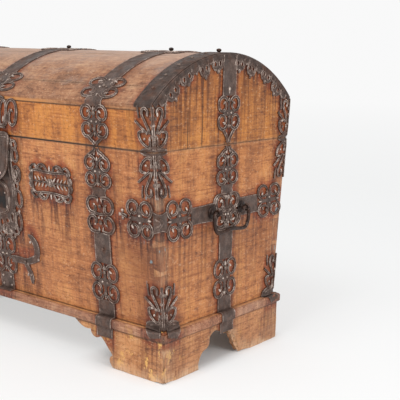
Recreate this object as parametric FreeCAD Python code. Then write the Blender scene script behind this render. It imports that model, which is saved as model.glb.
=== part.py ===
import FreeCAD, Part
import math
import os
from FreeCAD import Placement, Rotation, Vector

os.makedirs("parts", exist_ok=True)

# Dome-lidded dowry chest on a bracket-footed plinth.
# Millimetres, +Z up, the front faces -Y, the origin is on the floor under the middle.

# Overall sizes of the chest
case_length = 1234.0
case_depth_at_seam = 585.0
case_depth_at_plinth = 496.0
plinth_height = 139.0
case_wall_height = 468.0
lid_wall_height = 117.0
dome_rise = 125.5

# Board thicknesses
side_board = 24.0
end_board = 24.0
bottom_board = 20.0
stave_board = 12.0
plinth_board = 26.0

# Clearances
bedding_gap = 0.1
stave_gap = 0.4
pin_clearance = 0.4
sliding_clearance = 0.3
hinge_clearance = 1.0
overrun = 5.0

# Plinth and its half-round moulding
plinth_projection = 11.0
moulding_height = 26.0
moulding_projection = 7.0
moulding_nose = 6.0
apron_height = 115.0
front_foot_length = 336.0
ledger_width = 42.0
ledger_height = 34.0
corner_block_side = 44.0
corner_block_lift = 8.0

# Dovetails at the corners of the case and the lid
case_tails = 6
lid_tails = 1
dovetail_pin_width = 22.0
dovetail_flare = 5.0

# Iron straps and pierced work
iron = 3.0
strap_width = 59.0
side_strap_offset = 416.0
end_strap_offset = 5.0
lobe_radius = 25.0
lobe_hole = 11.5
lobe_spread = 22.0
small_lobe_radius = 17.0
small_lobe_hole = 7.0
neck_width = 20.0
band_height = 52.0
band_rise = 289.0
band_lobe_radius = 27.0
band_lobe_spread = 24.0
trefoil_radius = 9.0

# Hand-forged nails
nail_radius = 2.2
nail_length = 14.0
nail_head_ball = 6.2
nail_head_cut_angle = 32.0

# Lock plate, key slot and the lock behind it
lock_plate_half_width = 70.0
lock_plate_height = 284.0
lock_plate_drop = 6.0
lock_lobe_radius = 31.0
lock_lobe_hole = 11.0
key_slot_width = 14.0
key_slot_height = 62.0
key_slot_drop = 142.0
lock_case_length = 150.0
lock_case_height = 196.0
lock_case_depth = 40.0
lock_case_drop = 26.0
lock_case_wall = 3.0
lock_mouth_margin = 4.0
bolt_height = 12.0
bolt_width = 8.0
bolt_travel = 22.0
bolt_drop = 52.0
keeper_thickness = 6.0
keeper_width = 18.0
keeper_plate_width = 40.0
keeper_plate_height = 46.0
keeper_plate = 4.0
keeper_reach = 64.0

# Hasp hanging from the centre strap of the lid
hasp_width = 116.0
hasp_length = 147.0
hasp_pivot_rise = 16.0
hasp_barrel_radius = 5.5
hasp_pin_radius = 2.5
hasp_barrel_width = 20.0

# Hinges of the lid
hinge_barrel_radius = 7.0
hinge_pin_radius = 3.5
hinge_pin_overhang = 2.5
hinge_leaf_length = 236.0

# Bail handles on the ends
bail_rod_radius = 5.0
bail_half_span = 78.0
bail_half_grip = 47.0
bail_drop = 56.0
bail_corner_radius = 22.0
bail_elbow_radius = 8.0
bail_stand_off = 22.0
bail_pin_length = 24.0
staple_thickness = 8.0
staple_eye_radius = 10.5
staple_rose_radius = 17.0
staple_rose = 3.0
staple_neck_width = 12.0

# Round knobs along the ridge
knob_ball = 9.0
knob_neck_radius = 5.0
knob_rise = 5.0

# Lid end bands
edge_band_width = 66.0
valance_depth = 24.0
drop_radius = 12.0
drop_hole = 5.0
drops_on_each_side = 5

# Plaques with a pierced scroll frame
plaque_offset = 228.0
plaque_drop = 118.0
plaque_width = 168.0
plaque_height = 82.0
plaque_crest_radius = 17.0
plaque_bar = 13.0

# Side arms under the lock plate
arm_height = 20.0
arm_reach = 132.0
crescent_radius = 42.0
crescent_width = 15.0
arm_leg_length = 52.0
arm_leg_width = 20.0

# Levels and half sizes that follow from the above
half_length = case_length / 2
seam_z = plinth_height + case_wall_height
eave_z = seam_z + lid_wall_height
ridge_z = eave_z + dome_rise
lean = (case_depth_at_seam - case_depth_at_plinth) / 2 / case_wall_height
lean_angle = math.atan(lean)
eave_half_depth = case_depth_at_seam / 2 + lean * lid_wall_height
dome_radius = (eave_half_depth**2 + dome_rise**2) / (2 * dome_rise)
dome_centre_z = ridge_z - dome_radius
plinth_half_length = half_length + plinth_projection
plinth_half_depth = case_depth_at_plinth / 2 + plinth_projection
hinge_axis_y = case_depth_at_seam / 2 + hinge_barrel_radius + bedding_gap

X_AXIS = Vector(1, 0, 0)
Y_AXIS = Vector(0, 1, 0)
Z_AXIS = Vector(0, 0, 1)
ORIGIN = Vector(0, 0, 0)

# Local frames: X runs along the wall, Z up the wall from the seam, -Y points out of it.
turn_round = Placement(ORIGIN, Rotation(Z_AXIS, 180))
front_wall = Placement(Vector(0, -case_depth_at_seam / 2, seam_z), Rotation(X_AXIS, math.degrees(lean_angle)))
back_wall = turn_round.multiply(front_wall)
right_wall = Placement(Vector(half_length, 0, seam_z), Rotation(Z_AXIS, 90))
left_wall = turn_round.multiply(right_wall)
both_ends = (("right", right_wall, 1), ("left", left_wall, -1))


def dome_wall(angle):
    """Frame on the dome, angle in degrees from the ridge, negative towards the front."""
    turn = math.radians(angle)
    spot = Vector(0, dome_radius * math.sin(turn), dome_centre_z + dome_radius * math.cos(turn))
    return Placement(spot, Rotation(X_AXIS, -(90 + angle)))


def save(shape, name):
    shape.exportStep(os.path.join("parts", name + ".step"))


def wall_half_depth(z, grow=0.0):
    return case_depth_at_seam / 2 + lean * (z - seam_z) + grow / math.cos(lean_angle)


def along_x(face, start, stop):
    moved = face.translated(Vector(start, 0, 0))
    return moved.extrude(Vector(stop - start, 0, 0))


def polygon_yz(points):
    corners = [Vector(0, y, z) for y, z in points]
    return Part.Face(Part.makePolygon(corners + corners[:1]))


def mirrored(shape, axis):
    return shape.mirror(ORIGIN, axis)


def box_between(low, high):
    size = high.sub(low)
    return Part.makeBox(size.x, size.y, size.z, low)


def case_section(grow, low, high):
    """Cross-section of the case between two levels, wider at the top."""
    return polygon_yz([
        (-wall_half_depth(low, grow), low),
        (wall_half_depth(low, grow), low),
        (wall_half_depth(high, grow), high),
        (-wall_half_depth(high, grow), high),
    ])


def lid_section(grow):
    """Cross-section of the lid: two leaning walls under one arc."""
    radius = dome_radius + grow
    base = wall_half_depth(seam_z, grow)
    start = base - lean * (seam_z - dome_centre_z)
    a = 1 + lean**2
    b = 2 * lean * start
    c = start**2 - radius**2
    rise = (-b + math.sqrt(b**2 - 4 * a * c)) / (2 * a)
    eave_y = start + lean * rise
    eave = dome_centre_z + rise
    front_foot = Vector(0, -base, seam_z)
    front_eave = Vector(0, -eave_y, eave)
    ridge = Vector(0, 0, dome_centre_z + radius)
    back_eave = Vector(0, eave_y, eave)
    back_foot = Vector(0, base, seam_z)
    edges = [
        Part.makeLine(front_foot, front_eave),
        Part.Arc(front_eave, ridge, back_eave).toShape(),
        Part.makeLine(back_eave, back_foot),
        Part.makeLine(back_foot, front_foot),
    ]
    return Part.Face(Part.Wire(edges))


def dome_cylinder(radius, half):
    return Part.makeCylinder(radius, 2 * half, Vector(-half, 0, dome_centre_z), X_AXIS)


def fuse(shapes):
    joined = shapes[0]
    if len(shapes) > 1:
        joined = joined.multiFuse(shapes[1:])
    return joined.removeSplitter()


# Plinth: four mitred boards sawn to bracket feet, with a half-round moulding round the top.
def rounded_slab(half_x, half_y, low, high, radius):
    slab = box_between(Vector(-half_x, -half_y, low), Vector(half_x, half_y, high))
    level_edges = [e for e in slab.Edges if abs(e.Vertexes[0].Z - e.Vertexes[1].Z) < bedding_gap]
    return slab.makeFillet(radius, level_edges)


def moulding_block(grow):
    reach = moulding_projection + grow
    return rounded_slab(
        plinth_half_length + reach,
        plinth_half_depth + reach,
        plinth_height - moulding_height - grow,
        plinth_height + grow,
        moulding_nose + grow,
    )


def plinth_block(grow):
    side = Vector(plinth_half_length + grow, plinth_half_depth + grow, 0)
    return box_between(side.negative(), side.add(Vector(0, 0, plinth_height - moulding_height / 2)))


def mitred_side(direction, outward, inward, low, high):
    """Prism with 45 degree ends that holds one side of the plinth frame."""
    out_x = plinth_half_length + outward
    out_y = plinth_half_depth + outward
    in_x = plinth_half_length - inward
    in_y = plinth_half_depth - inward
    if direction.x == 0:
        points = [(-out_x, out_y), (out_x, out_y), (in_x, in_y), (-in_x, in_y)]
        corners = [Vector(x, y * direction.y, low) for x, y in points]
    else:
        points = [(out_x, -out_y), (out_x, out_y), (in_x, in_y), (in_x, -in_y)]
        corners = [Vector(x * direction.x, y, low) for x, y in points]
    return Part.Face(Part.makePolygon(corners + corners[:1])).extrude(Vector(0, 0, high - low))


# Outline of the gap beside a foot, from the toe up to the apron, as shares of the foot's
# length from the corner and of the apron's height: each step is an arc's middle and end.
front_foot_shares = (
    ((0.545, 0.0), None),
    ((0.592, 0.125), (0.557, 0.31)),
    ((0.62, 0.52), (0.693, 0.70)),
    ((0.752, 0.635), (0.802, 0.81)),
    ((0.91, 0.83), (1.0, 1.0)),
)
end_foot_shares = (
    ((0.57, 0.0), None),
    ((0.59, 0.32), (0.66, 0.435)),
    ((0.73, 0.52), (0.74, 0.68)),
    ((0.80, 0.80), (0.885, 0.815)),
    ((0.94, 0.745), (1.0, 0.845)),
)
broken_foot_shares = (
    ((0.72, 0.0), None),
    ((0.80, 0.27), (0.86, 0.53)),
    ((0.90, 0.55), (0.93, 0.61)),
    ((0.955, 0.74), (1.0, 0.845)),
)


def gap_beside_foot(shares, corner_distance, foot_length):
    """Face in the XZ plane between the middle of a side and the foot at its +X end."""
    def spot(share):
        return Vector(corner_distance - share[0] * foot_length, 0, share[1] * apron_height)
    toe = spot(shares[0][0])
    edges = []
    here = toe
    for middle, end in shares[1:]:
        edges.append(Part.Arc(here, spot(middle), spot(end)).toShape())
        here = spot(end)
    crown = Vector(0, 0, here.z)
    if here.x > bedding_gap:
        edges.append(Part.makeLine(here, crown))
    else:
        crown = here
    below = [Vector(crown.x, 0, -overrun), Vector(toe.x, 0, -overrun)]
    edges.append(Part.makeLine(crown, below[0]))
    edges.append(Part.makeLine(below[0], below[1]))
    edges.append(Part.makeLine(below[1], toe))
    return Part.Face(Part.Wire(edges))


through_y = Y_AXIS * (2 * case_depth_at_seam)
long_gap_face = gap_beside_foot(front_foot_shares, plinth_half_length, front_foot_length)
long_gap = long_gap_face.translated(Vector(0, -case_depth_at_seam, 0)).extrude(through_y)
long_gaps = [long_gap, mirrored(long_gap, X_AXIS)]
turn_to_end = Placement(ORIGIN, Rotation(Z_AXIS, 90))


def end_gap(shares, side):
    """Gap beside one foot of an end, side -1 for the front foot and 1 for the back foot."""
    face = gap_beside_foot(shares, plinth_half_depth, plinth_half_depth)
    gap = face.translated(Vector(0, -overrun, 0)).extrude(Y_AXIS * (plinth_board + 2 * overrun))
    gap.Placement = turn_to_end
    gap.translate(Vector(plinth_half_length, 0, 0))
    if side < 0:
        gap = mirrored(gap, Y_AXIS)
    return gap


front_gaps_of_ends = end_gap(end_foot_shares, -1)
sound_back_gap = end_gap(end_foot_shares, 1)
broken_back_gap = end_gap(broken_foot_shares, 1)

sides = {
    "front": (Vector(0, -1, 0), long_gaps),
    "back": (Vector(0, 1, 0), long_gaps),
    "right_end": (Vector(1, 0, 0), [front_gaps_of_ends, broken_back_gap]),
    "left_end": (Vector(-1, 0, 0), [mirrored(g, X_AXIS) for g in (front_gaps_of_ends, sound_back_gap)]),
}
moulding_ring = moulding_block(0).cut(box_between(
    Vector(-plinth_half_length, -plinth_half_depth, 0),
    Vector(plinth_half_length, plinth_half_depth, plinth_height + overrun),
))
mouldings = []
for side_name, (direction, gaps) in sides.items():
    board = mitred_side(direction, 0, plinth_board, 0, plinth_height).cut(gaps)
    save(board, "plinth_" + side_name)
    strip = mitred_side(direction, moulding_projection, 0, 0, plinth_height)
    mouldings.append(moulding_ring.common(strip))
save(Part.makeCompound(mouldings), "plinth_mouldings")

inside_x = plinth_half_length - plinth_board
inside_y = plinth_half_depth - plinth_board
ledgers = []
blocks = []
for way in (-1, 1):
    ledger_y = (inside_y - ledger_width, inside_y) if way > 0 else (-inside_y, ledger_width - inside_y)
    ledgers.append(box_between(
        Vector(-inside_x, ledger_y[0], plinth_height - ledger_height),
        Vector(inside_x, ledger_y[1], plinth_height),
    ))
    for hand in (-1, 1):
        block_x = min(hand * inside_x, hand * (inside_x - corner_block_side))
        block_y = min(way * inside_y, way * (inside_y - corner_block_side))
        blocks.append(Part.makeBox(
            corner_block_side,
            corner_block_side,
            plinth_height - ledger_height - corner_block_lift,
            Vector(block_x, block_y, corner_block_lift),
        ))
save(Part.makeCompound(ledgers), "bottom_ledgers")
save(Part.makeCompound(blocks), "corner_blocks")


# Case and lid walls: long boards with tails, end boards with the pins between them.
def side_slab(low, high):
    thickness = side_board / math.cos(lean_angle)
    return along_x(polygon_yz([
        (-wall_half_depth(low), low),
        (-wall_half_depth(high), high),
        (thickness - wall_half_depth(high), high),
        (thickness - wall_half_depth(low), low),
    ]), -half_length, half_length)


def pin_sockets(low, high, tails):
    """Dovetail pins of both ends, cut right through the long boards."""
    pitch = (high - low) / tails
    root = half_length - end_board
    tip = half_length + overrun
    narrow = dovetail_pin_width / 2 - dovetail_flare * (1 + overrun / end_board)
    wide = dovetail_pin_width / 2
    sockets = []
    for step in range(tails + 1):
        z = low + step * pitch
        corners = [(root, z - wide), (root, z + wide), (tip, z + narrow), (tip, z - narrow)]
        outline = [Vector(x, -case_depth_at_seam, level) for x, level in corners]
        socket = Part.Face(Part.makePolygon(outline + outline[:1])).extrude(through_y)
        sockets += [socket, mirrored(socket, X_AXIS)]
    return sockets


case_sockets = pin_sockets(plinth_height, seam_z, case_tails)
front_board = side_slab(plinth_height, seam_z).cut(case_sockets)
back_board = mirrored(front_board, Y_AXIS)
case_end_slab = along_x(case_section(0, plinth_height, seam_z), half_length - end_board, half_length)
right_end_board = case_end_slab.cut([front_board, back_board])
left_end_board = mirrored(right_end_board, X_AXIS)

lid_room = dome_cylinder(dome_radius - stave_board - bedding_gap, half_length)
lid_sockets = pin_sockets(seam_z, eave_z - stave_board, lid_tails)
lid_front_rail = side_slab(seam_z, eave_z).common(lid_room).cut(lid_sockets)
lid_back_rail = mirrored(lid_front_rail, Y_AXIS)
lid_end_slab = along_x(lid_section(0), half_length - end_board, half_length).common(lid_room)
lid_right_arch = lid_end_slab.cut([lid_front_rail, lid_back_rail])
lid_left_arch = mirrored(lid_right_arch, X_AXIS)

# Dome of five boards of unequal width, their joints at these angles from the ridge.
stave_joint_shares = (-1.0, -0.81, -0.26, 0.2, 0.58, 1.0)
dome_half_angle = math.degrees(math.asin(eave_half_depth / dome_radius))
dome_shell = along_x(lid_section(0), -half_length, half_length).cut(
    dome_cylinder(dome_radius - stave_board, half_length + overrun)
)
staves = []
for first, last in zip(stave_joint_shares, stave_joint_shares[1:]):
    gap_angle = math.degrees(stave_gap / 2 / dome_radius)
    start = first * dome_half_angle + gap_angle if first > -1 else 2 * first * dome_half_angle
    stop = last * dome_half_angle - gap_angle if last < 1 else 2 * last * dome_half_angle
    reach = 2 * dome_radius
    fan = [(0, dome_centre_z)]
    for angle in (start, (start + stop) / 2, stop):
        turn = math.radians(angle)
        fan.append((reach * math.sin(turn), dome_centre_z + reach * math.cos(turn)))
    staves.append(dome_shell.common(along_x(polygon_yz(fan), -half_length, half_length)))

bottom_planks = []
floor_room = along_x(case_section(-side_board, plinth_height, plinth_height + bottom_board),
                     end_board - half_length, half_length - end_board)
plank_count = 3
plank_width = 2 * wall_half_depth(seam_z) / plank_count
for index in range(plank_count):
    low_y = (index - plank_count / 2) * plank_width
    plank = box_between(
        Vector(-half_length, low_y, plinth_height),
        Vector(half_length, low_y + plank_width, plinth_height + bottom_board),
    )
    bottom_planks.append(floor_room.common(plank))

# Iron skins: everything forged is cut out of a sheet that lies round the case or the lid.
def case_envelope(grow):
    tub = along_x(case_section(grow, plinth_height, seam_z), -half_length - grow, half_length + grow)
    return fuse([tub, moulding_block(grow), plinth_block(grow)])


def lid_envelope(grow):
    return along_x(lid_section(grow), -half_length - grow, half_length + grow)


case_skin = case_envelope(iron + bedding_gap).cut(case_envelope(bedding_gap))
lid_skin = lid_envelope(iron + bedding_gap).cut(lid_envelope(bedding_gap))
sheet_reach = 2 * iron
fold_reach = plinth_projection + moulding_projection + sheet_reach


def disc(frame, u, v, radius, reach=sheet_reach):
    """Round cutter standing through the sheet at a place on a wall."""
    puck = Part.makeCylinder(radius, reach + sheet_reach, Vector(u, -reach, v), Y_AXIS)
    puck.Placement = frame
    return puck


def bar(frame, u_low, v_low, u_high, v_high, reach=sheet_reach):
    """Straight cutter standing through the sheet at a place on a wall."""
    block = Part.makeBox(u_high - u_low, reach + sheet_reach, v_high - v_low, Vector(u_low, -reach, v_low))
    block.Placement = frame
    return block


def foot_frame(wall):
    """Upright frame at the foot of a wall, where the plinth begins."""
    up = wall.Rotation.multVec(Z_AXIS)
    along = wall.Rotation.multVec(X_AXIS)
    foot = wall.Base.sub(up * (case_wall_height / up.z))
    return Placement(foot, Rotation(Z_AXIS, math.degrees(math.atan2(along.y, along.x))))


def draped_bar(wall, u_low, u_high, v_top, tail):
    """Cutters for iron that comes down a wall and goes on over the moulding and the plinth."""
    wall_foot = -case_wall_height / wall.Rotation.multVec(Z_AXIS).z
    over_plinth = bar(foot_frame(wall), u_low, -tail, u_high, sheet_reach, fold_reach)
    return [bar(wall, u_low, wall_foot, u_high, v_top), over_plinth]


def pointed(frame, u, half_width, v_wide, v_point):
    """Triangular cutter that tapers a strap to a point."""
    outline = [Vector(u - half_width, -sheet_reach, v_wide), Vector(u + half_width, -sheet_reach, v_wide),
               Vector(u, -sheet_reach, v_point)]
    wedge = Part.Face(Part.makePolygon(outline + outline[:1])).extrude(Y_AXIS * (2 * sheet_reach))
    wedge.Placement = frame
    return wedge


def quatrefoil(frame, u, v, spread_v, radius=lobe_radius, hole=lobe_hole, spread_u=lobe_spread):
    """Four pierced scroll lobes about a centre: the cutters, the piercings and the nail spots."""
    lobes = [bar(frame, u - spread_u / 2, v - spread_v, u + spread_u / 2, v + spread_v)]
    holes = []
    for way_u in (-1, 1):
        for way_v in (-1, 1):
            lobes.append(disc(frame, u + way_u * spread_u, v + way_v * spread_v, radius))
            holes.append(disc(frame, u + way_u * spread_u, v + way_v * spread_v, hole))
    spots = [(frame, u, v + way_v * spread_v) for way_v in (-1, 1)]
    return lobes, holes, spots


def cut_iron(skin, lobes, holes=(), spare=()):
    """One forged piece: the sheet inside the cutters, less its piercings and its neighbours."""
    piece = skin.common(fuse(lobes))
    for group in (holes, spare):
        if group:
            piece = piece.cut(list(group))
    return piece


case_nails = []
lid_nails = []
half_strap = strap_width / 2


def scaled(shares, size):
    return [share * size for share in shares]


# Straps down the case. Heights are shares of the wall below the seam.
front_motif_shares = (0.153, 0.389, 0.797)
front_motif_spread_shares = (0.038, 0.047, 0.064)
end_motif_shares = (0.158, 0.797)
end_motif_spread_shares = (0.043, 0.064)
link_shares = (0.035, 0.86)


def case_strap(frame, offset, motif_shares, spread_shares, tail, spare=()):
    """A strap from the seam down over the plinth, with its pierced swellings."""
    wall = case_wall_height / math.cos(lean_angle)
    neck_top, wide_from = scaled(link_shares, -wall)
    centres = scaled(motif_shares, -wall)
    lobes = [bar(frame, offset - neck_width / 2, centres[0], offset + neck_width / 2, neck_top)]
    lobes.append(bar(frame, offset - half_strap, wide_from, offset + half_strap, centres[0]))
    lobes += draped_bar(frame, offset - half_strap, offset + half_strap, wide_from, tail)
    holes = []
    for centre, spread in zip(centres, scaled(spread_shares, wall)):
        new_lobes, new_holes, spots = quatrefoil(frame, offset, centre, spread)
        lobes += new_lobes
        holes += new_holes
        case_nails.extend(spots)
    case_nails.append((frame, offset, (centres[-2] + centres[-1]) / 2))
    return cut_iron(case_skin, lobes, holes, spare)


front_strap_tail = 77.0
end_strap_tail = 44.0
lock_strap_tail = plinth_height - apron_height
front_straps = {
    "front_strap_left": case_strap(front_wall, -side_strap_offset, front_motif_shares,
                                   front_motif_spread_shares, front_strap_tail, long_gaps),
    "front_strap_right": case_strap(front_wall, side_strap_offset, front_motif_shares,
                                    front_motif_spread_shares, front_strap_tail, long_gaps),
}

# Band round each end: quatrefoils at both corners and in the middle, carrying the handle.
band_v = band_rise - case_wall_height
end_half_depth = wall_half_depth(seam_z + band_v)
corner_motif_inset = 78.0
front_motif_inset = 60.0
trefoil_inset = 131.0
middle_motif_spread = 30.0
corner_motif_spread = 27.0


def wrap_band(frame, hand):
    middle = hand * end_strap_offset
    near_corner = end_half_depth - corner_motif_inset
    lobes = [bar(frame, -end_half_depth - iron, band_v - band_height / 2,
                 end_half_depth + iron, band_v + band_height / 2)]
    holes = []
    for u, spread in ((-near_corner, corner_motif_spread), (middle, middle_motif_spread),
                      (near_corner, corner_motif_spread)):
        new_lobes, new_holes, spots = quatrefoil(
            frame, u, band_v, spread, band_lobe_radius, lobe_hole, band_lobe_spread)
        lobes += new_lobes
        holes += new_holes
        case_nails.extend(spots)
    for wall, way in ((front_wall, hand), (back_wall, -hand)):
        corner = way * half_length
        foil = way * (half_length - front_motif_inset)
        tip = way * (half_length - trefoil_inset)
        v = band_v / math.cos(lean_angle)
        new_lobes, new_holes, spots = quatrefoil(wall, foil, v, corner_motif_spread)
        lobes += new_lobes
        half_neck = neck_width / 2
        half_stalk = trefoil_radius / 2
        lobes.append(bar(wall, min(corner, foil) - iron, v - half_neck,
                         max(corner, foil) + iron, v + half_neck))
        lobes.append(bar(wall, min(tip, foil), v - half_stalk, max(tip, foil), v + half_stalk))
        lobes += [disc(wall, tip, v + way_v * trefoil_radius, trefoil_radius) for way_v in (-1, 1)]
        lobes.append(disc(wall, tip - way * trefoil_radius, v, trefoil_radius))
        holes += new_holes
        case_nails.extend(spots)
    blank = cut_iron(case_skin, lobes)
    return blank, blank.cut(holes)


wrap_bands = {}
end_straps = {}
for end_name, wall, way in both_ends:
    blank, band = wrap_band(wall, way)
    wrap_bands["wrap_band_" + end_name] = band
    end_straps["end_strap_" + end_name] = case_strap(
        wall, way * end_strap_offset, end_motif_shares, end_motif_spread_shares, end_strap_tail, [blank])

# Corner mounts: pierced scrolls bent round the four upright corners.
corner_lobe_inset = 28.0
upper_mount_shares = (0.075, 0.175)
upper_mount_end_share = 0.235
palmette_shares = (0.79, 0.91)
palmette_fold = 40.0


def corner_mount(skin, corner, heights, low, high, tail=0.0):
    """A mount on both walls of one corner, its lobes at the given heights up the walls."""
    long_wall, long_u, end_wall, end_way = corner
    lobes = []
    holes = []
    spots = []
    inset = corner_lobe_inset
    for wall, sign, is_end in ((long_wall, math.copysign(1, long_u), False), (end_wall, end_way, True)):
        stretch = 1 if is_end else 1 / math.cos(lean_angle)
        for v in heights:
            edge = wall_half_depth(seam_z + v) if is_end else half_length
            u = sign * (edge - inset)
            lobes.append(disc(wall, u, v * stretch, lobe_radius))
            holes.append(disc(wall, u, v * stretch, lobe_hole))
            spots.append((wall, sign * (edge - lobe_radius / 4), v * stretch))
        edge = wall_half_depth(seam_z + max(heights)) if is_end else half_length
        stem = neck_width / 2 + iron
        inner = sign * (edge - stem - neck_width / 2)
        outer = sign * (edge + iron)
        lobes.append(bar(wall, min(inner, outer), low * stretch, max(inner, outer), high * stretch))
        if tail:
            wide = sign * (edge - 2 * inset)
            outer = sign * (edge + fold_reach)
            top = (min(heights) - lobe_radius / 2) * stretch
            lobes += draped_bar(wall, min(wide, outer), max(wide, outer), top, tail)
    return cut_iron(skin, lobes, holes), spots


corners = [
    (front_wall, half_length, right_wall, -1),
    (front_wall, -half_length, left_wall, 1),
    (back_wall, -half_length, right_wall, 1),
    (back_wall, half_length, left_wall, -1),
]
upper_mounts = []
lower_mounts = []
lid_mounts = []
lid_mount_shares = (0.34, 0.72)
for corner in corners:
    heights = scaled(upper_mount_shares, -case_wall_height)
    stem_foot = -upper_mount_end_share * case_wall_height
    mount, spots = corner_mount(case_skin, corner, heights, stem_foot, heights[0])
    upper_mounts.append(mount)
    case_nails.extend(spots)
    heights = scaled(palmette_shares, -case_wall_height)
    mount, spots = corner_mount(case_skin, corner, heights, heights[1], heights[0], palmette_fold)
    lower_mounts.append(mount)
    case_nails.extend(spots)
    heights = scaled(lid_mount_shares, lid_wall_height)
    mount, spots = corner_mount(lid_skin, corner, heights, heights[0], heights[1])
    lid_mounts.append(mount)
    lid_nails.extend(spots)

# Lock plate with a lobed, pierced border, and the strap with side arms below it.
lock_lobe_shares = (0.115, 0.355, 0.61, 0.885)
lock_nail_inset = 5.0
plate_top = -lock_plate_drop
plate_low = plate_top - lock_plate_height
lock_lobes = [bar(front_wall, -lock_plate_half_width, plate_low, lock_plate_half_width, plate_top)]
lock_holes = [bar(front_wall, -key_slot_width / 2, -key_slot_drop - key_slot_height,
                  key_slot_width / 2, -key_slot_drop)]
for share in lock_lobe_shares:
    for way in (-1, 1):
        v = plate_top - share * lock_plate_height
        u = way * (lock_plate_half_width - lock_lobe_radius / 6)
        lock_lobes.append(disc(front_wall, u, v, lock_lobe_radius))
        lock_holes.append(disc(front_wall, u + way * lock_lobe_hole / 2, v, lock_lobe_hole))
for upper_share, lower_share in zip(lock_lobe_shares, lock_lobe_shares[1:]):
    for way in (-1, 1):
        case_nails.append((front_wall, way * (lock_plate_half_width - lock_nail_inset),
                           plate_top - (upper_share + lower_share) / 2 * lock_plate_height))
lock_plate = cut_iron(case_skin, lock_lobes, lock_holes)

lock_motif_spread = 30.0
lock_strap_v = plate_low - lock_motif_spread - lobe_radius / 2
arm_v = lock_strap_v - lobe_radius / 2
lock_strap_lobes, lock_strap_holes, spots = quatrefoil(front_wall, 0, lock_strap_v, lock_motif_spread)
case_nails.extend(spots)
lock_strap_lobes += draped_bar(front_wall, -half_strap, half_strap, lock_strap_v - lock_motif_spread,
                               lock_strap_tail)
for way in (-1, 1):
    tip = way * arm_reach
    crescent_u = way * (arm_reach - crescent_radius / 2)
    crescent_v = arm_v + crescent_radius
    lock_strap_lobes.append(bar(front_wall, min(0, tip), arm_v - arm_height / 2,
                                max(0, tip), arm_v + arm_height / 2))
    hollow_u = crescent_u - way * crescent_width / 2
    hollow = disc(front_wall, hollow_u, crescent_v, crescent_radius - crescent_width / 2)
    moon = disc(front_wall, crescent_u, crescent_v, crescent_radius).cut(hollow)
    far = crescent_u + way * crescent_radius
    outer_half = bar(front_wall, min(crescent_u, far), crescent_v - crescent_radius,
                     max(crescent_u, far), crescent_v + crescent_radius)
    lock_strap_lobes.append(moon.common(outer_half))
    leg_u = way * (arm_reach - crescent_radius)
    lock_strap_lobes.append(bar(front_wall, leg_u - arm_leg_width / 2, arm_v - arm_leg_length,
                                leg_u + arm_leg_width / 2, arm_v))
    case_nails.append((front_wall, leg_u, arm_v - arm_leg_length / 2))
lock_strap = cut_iron(case_skin, lock_strap_lobes, lock_strap_holes, [lock_plate])


# Plaques: a nailed scroll frame on each half of the front, with generic scrolls inside.
def plaque(offset):
    half_w = plaque_width / 2
    half_h = plaque_height / 2
    centre = -plaque_drop
    lobes = [bar(front_wall, offset - half_w, centre - half_h, offset + half_w, centre + half_h)]
    holes = []
    windows = 3
    pitch = (plaque_width - plaque_bar) / windows
    for index in range(windows):
        left = offset - half_w + plaque_bar + index * pitch
        holes.append(bar(front_wall, left, centre - half_h + plaque_bar, left + pitch - plaque_bar,
                         centre + half_h - plaque_bar))
        scroll_u = left + (pitch - plaque_bar) / 2
        for way in (-1, 1):
            eye_v = centre + way * (half_h + plaque_bar / 4)
            lobes.append(disc(front_wall, scroll_u, centre + way * half_h, plaque_crest_radius))
            holes.append(disc(front_wall, scroll_u, eye_v, small_lobe_hole))
    for way_u in (-1, 1):
        for way_v in (-1, 1):
            case_nails.append((front_wall, offset + way_u * (half_w - plaque_bar / 2),
                               centre + way_v * (half_h - plaque_bar / 2)))
    return cut_iron(case_skin, lobes, holes)


plaques = {"plaque_left": plaque(-plaque_offset), "plaque_right": plaque(plaque_offset)}

# Straps over the lid: plain over the dome, opening into scrollwork at the ridge and the eaves.
ridge_motif_angle = 5.0
ridge_motif_reach = 48.0
eave_motif_angle_share = 0.84
eave_motif_reach = 37.0
centre_motif_reach = 50.0
eave_lobe_radius = 30.0
eave_lobe_hole = 13.0
lid_motif_share = 0.56
lid_motif_spread = 20.0
centre_wing_spread = 82.0
lid_neck_share = 0.4
lid_point_share = 0.04


def barrel_and_bore(barrel_radius, bore_radius, x_low, x_high, y, z):
    start = Vector(x_low, y, z)
    barrel = Part.makeCylinder(barrel_radius, x_high - x_low, start, X_AXIS)
    bore = Part.makeCylinder(bore_radius, x_high - x_low, start, X_AXIS)
    return barrel, bore


knuckle = strap_width / 3
hinge_room = hinge_barrel_radius + hinge_clearance


def hinge_parts(offset):
    """Knuckles and pin of one lid hinge: the lid has the middle knuckle, the case the outer two."""
    start = offset - half_strap
    spots = []
    for index in range(3):
        low = start + index * knuckle + sliding_clearance / 2
        high = start + (index + 1) * knuckle - sliding_clearance / 2
        spots.append((low, high))
    barrels = []
    rooms = []
    for low, high in spots:
        barrels.append(barrel_and_bore(hinge_barrel_radius, hinge_pin_radius + pin_clearance, low, high,
                                       hinge_axis_y, seam_z))
        rooms.append(Part.makeCylinder(hinge_room, high - low + 2 * sliding_clearance,
                                       Vector(low - sliding_clearance, hinge_axis_y, seam_z), X_AXIS))
    pin_low = start - hinge_pin_overhang
    pin = Part.makeCylinder(hinge_pin_radius, strap_width + 2 * hinge_pin_overhang,
                            Vector(pin_low, hinge_axis_y, seam_z), X_AXIS)
    return barrels, rooms, pin


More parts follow.
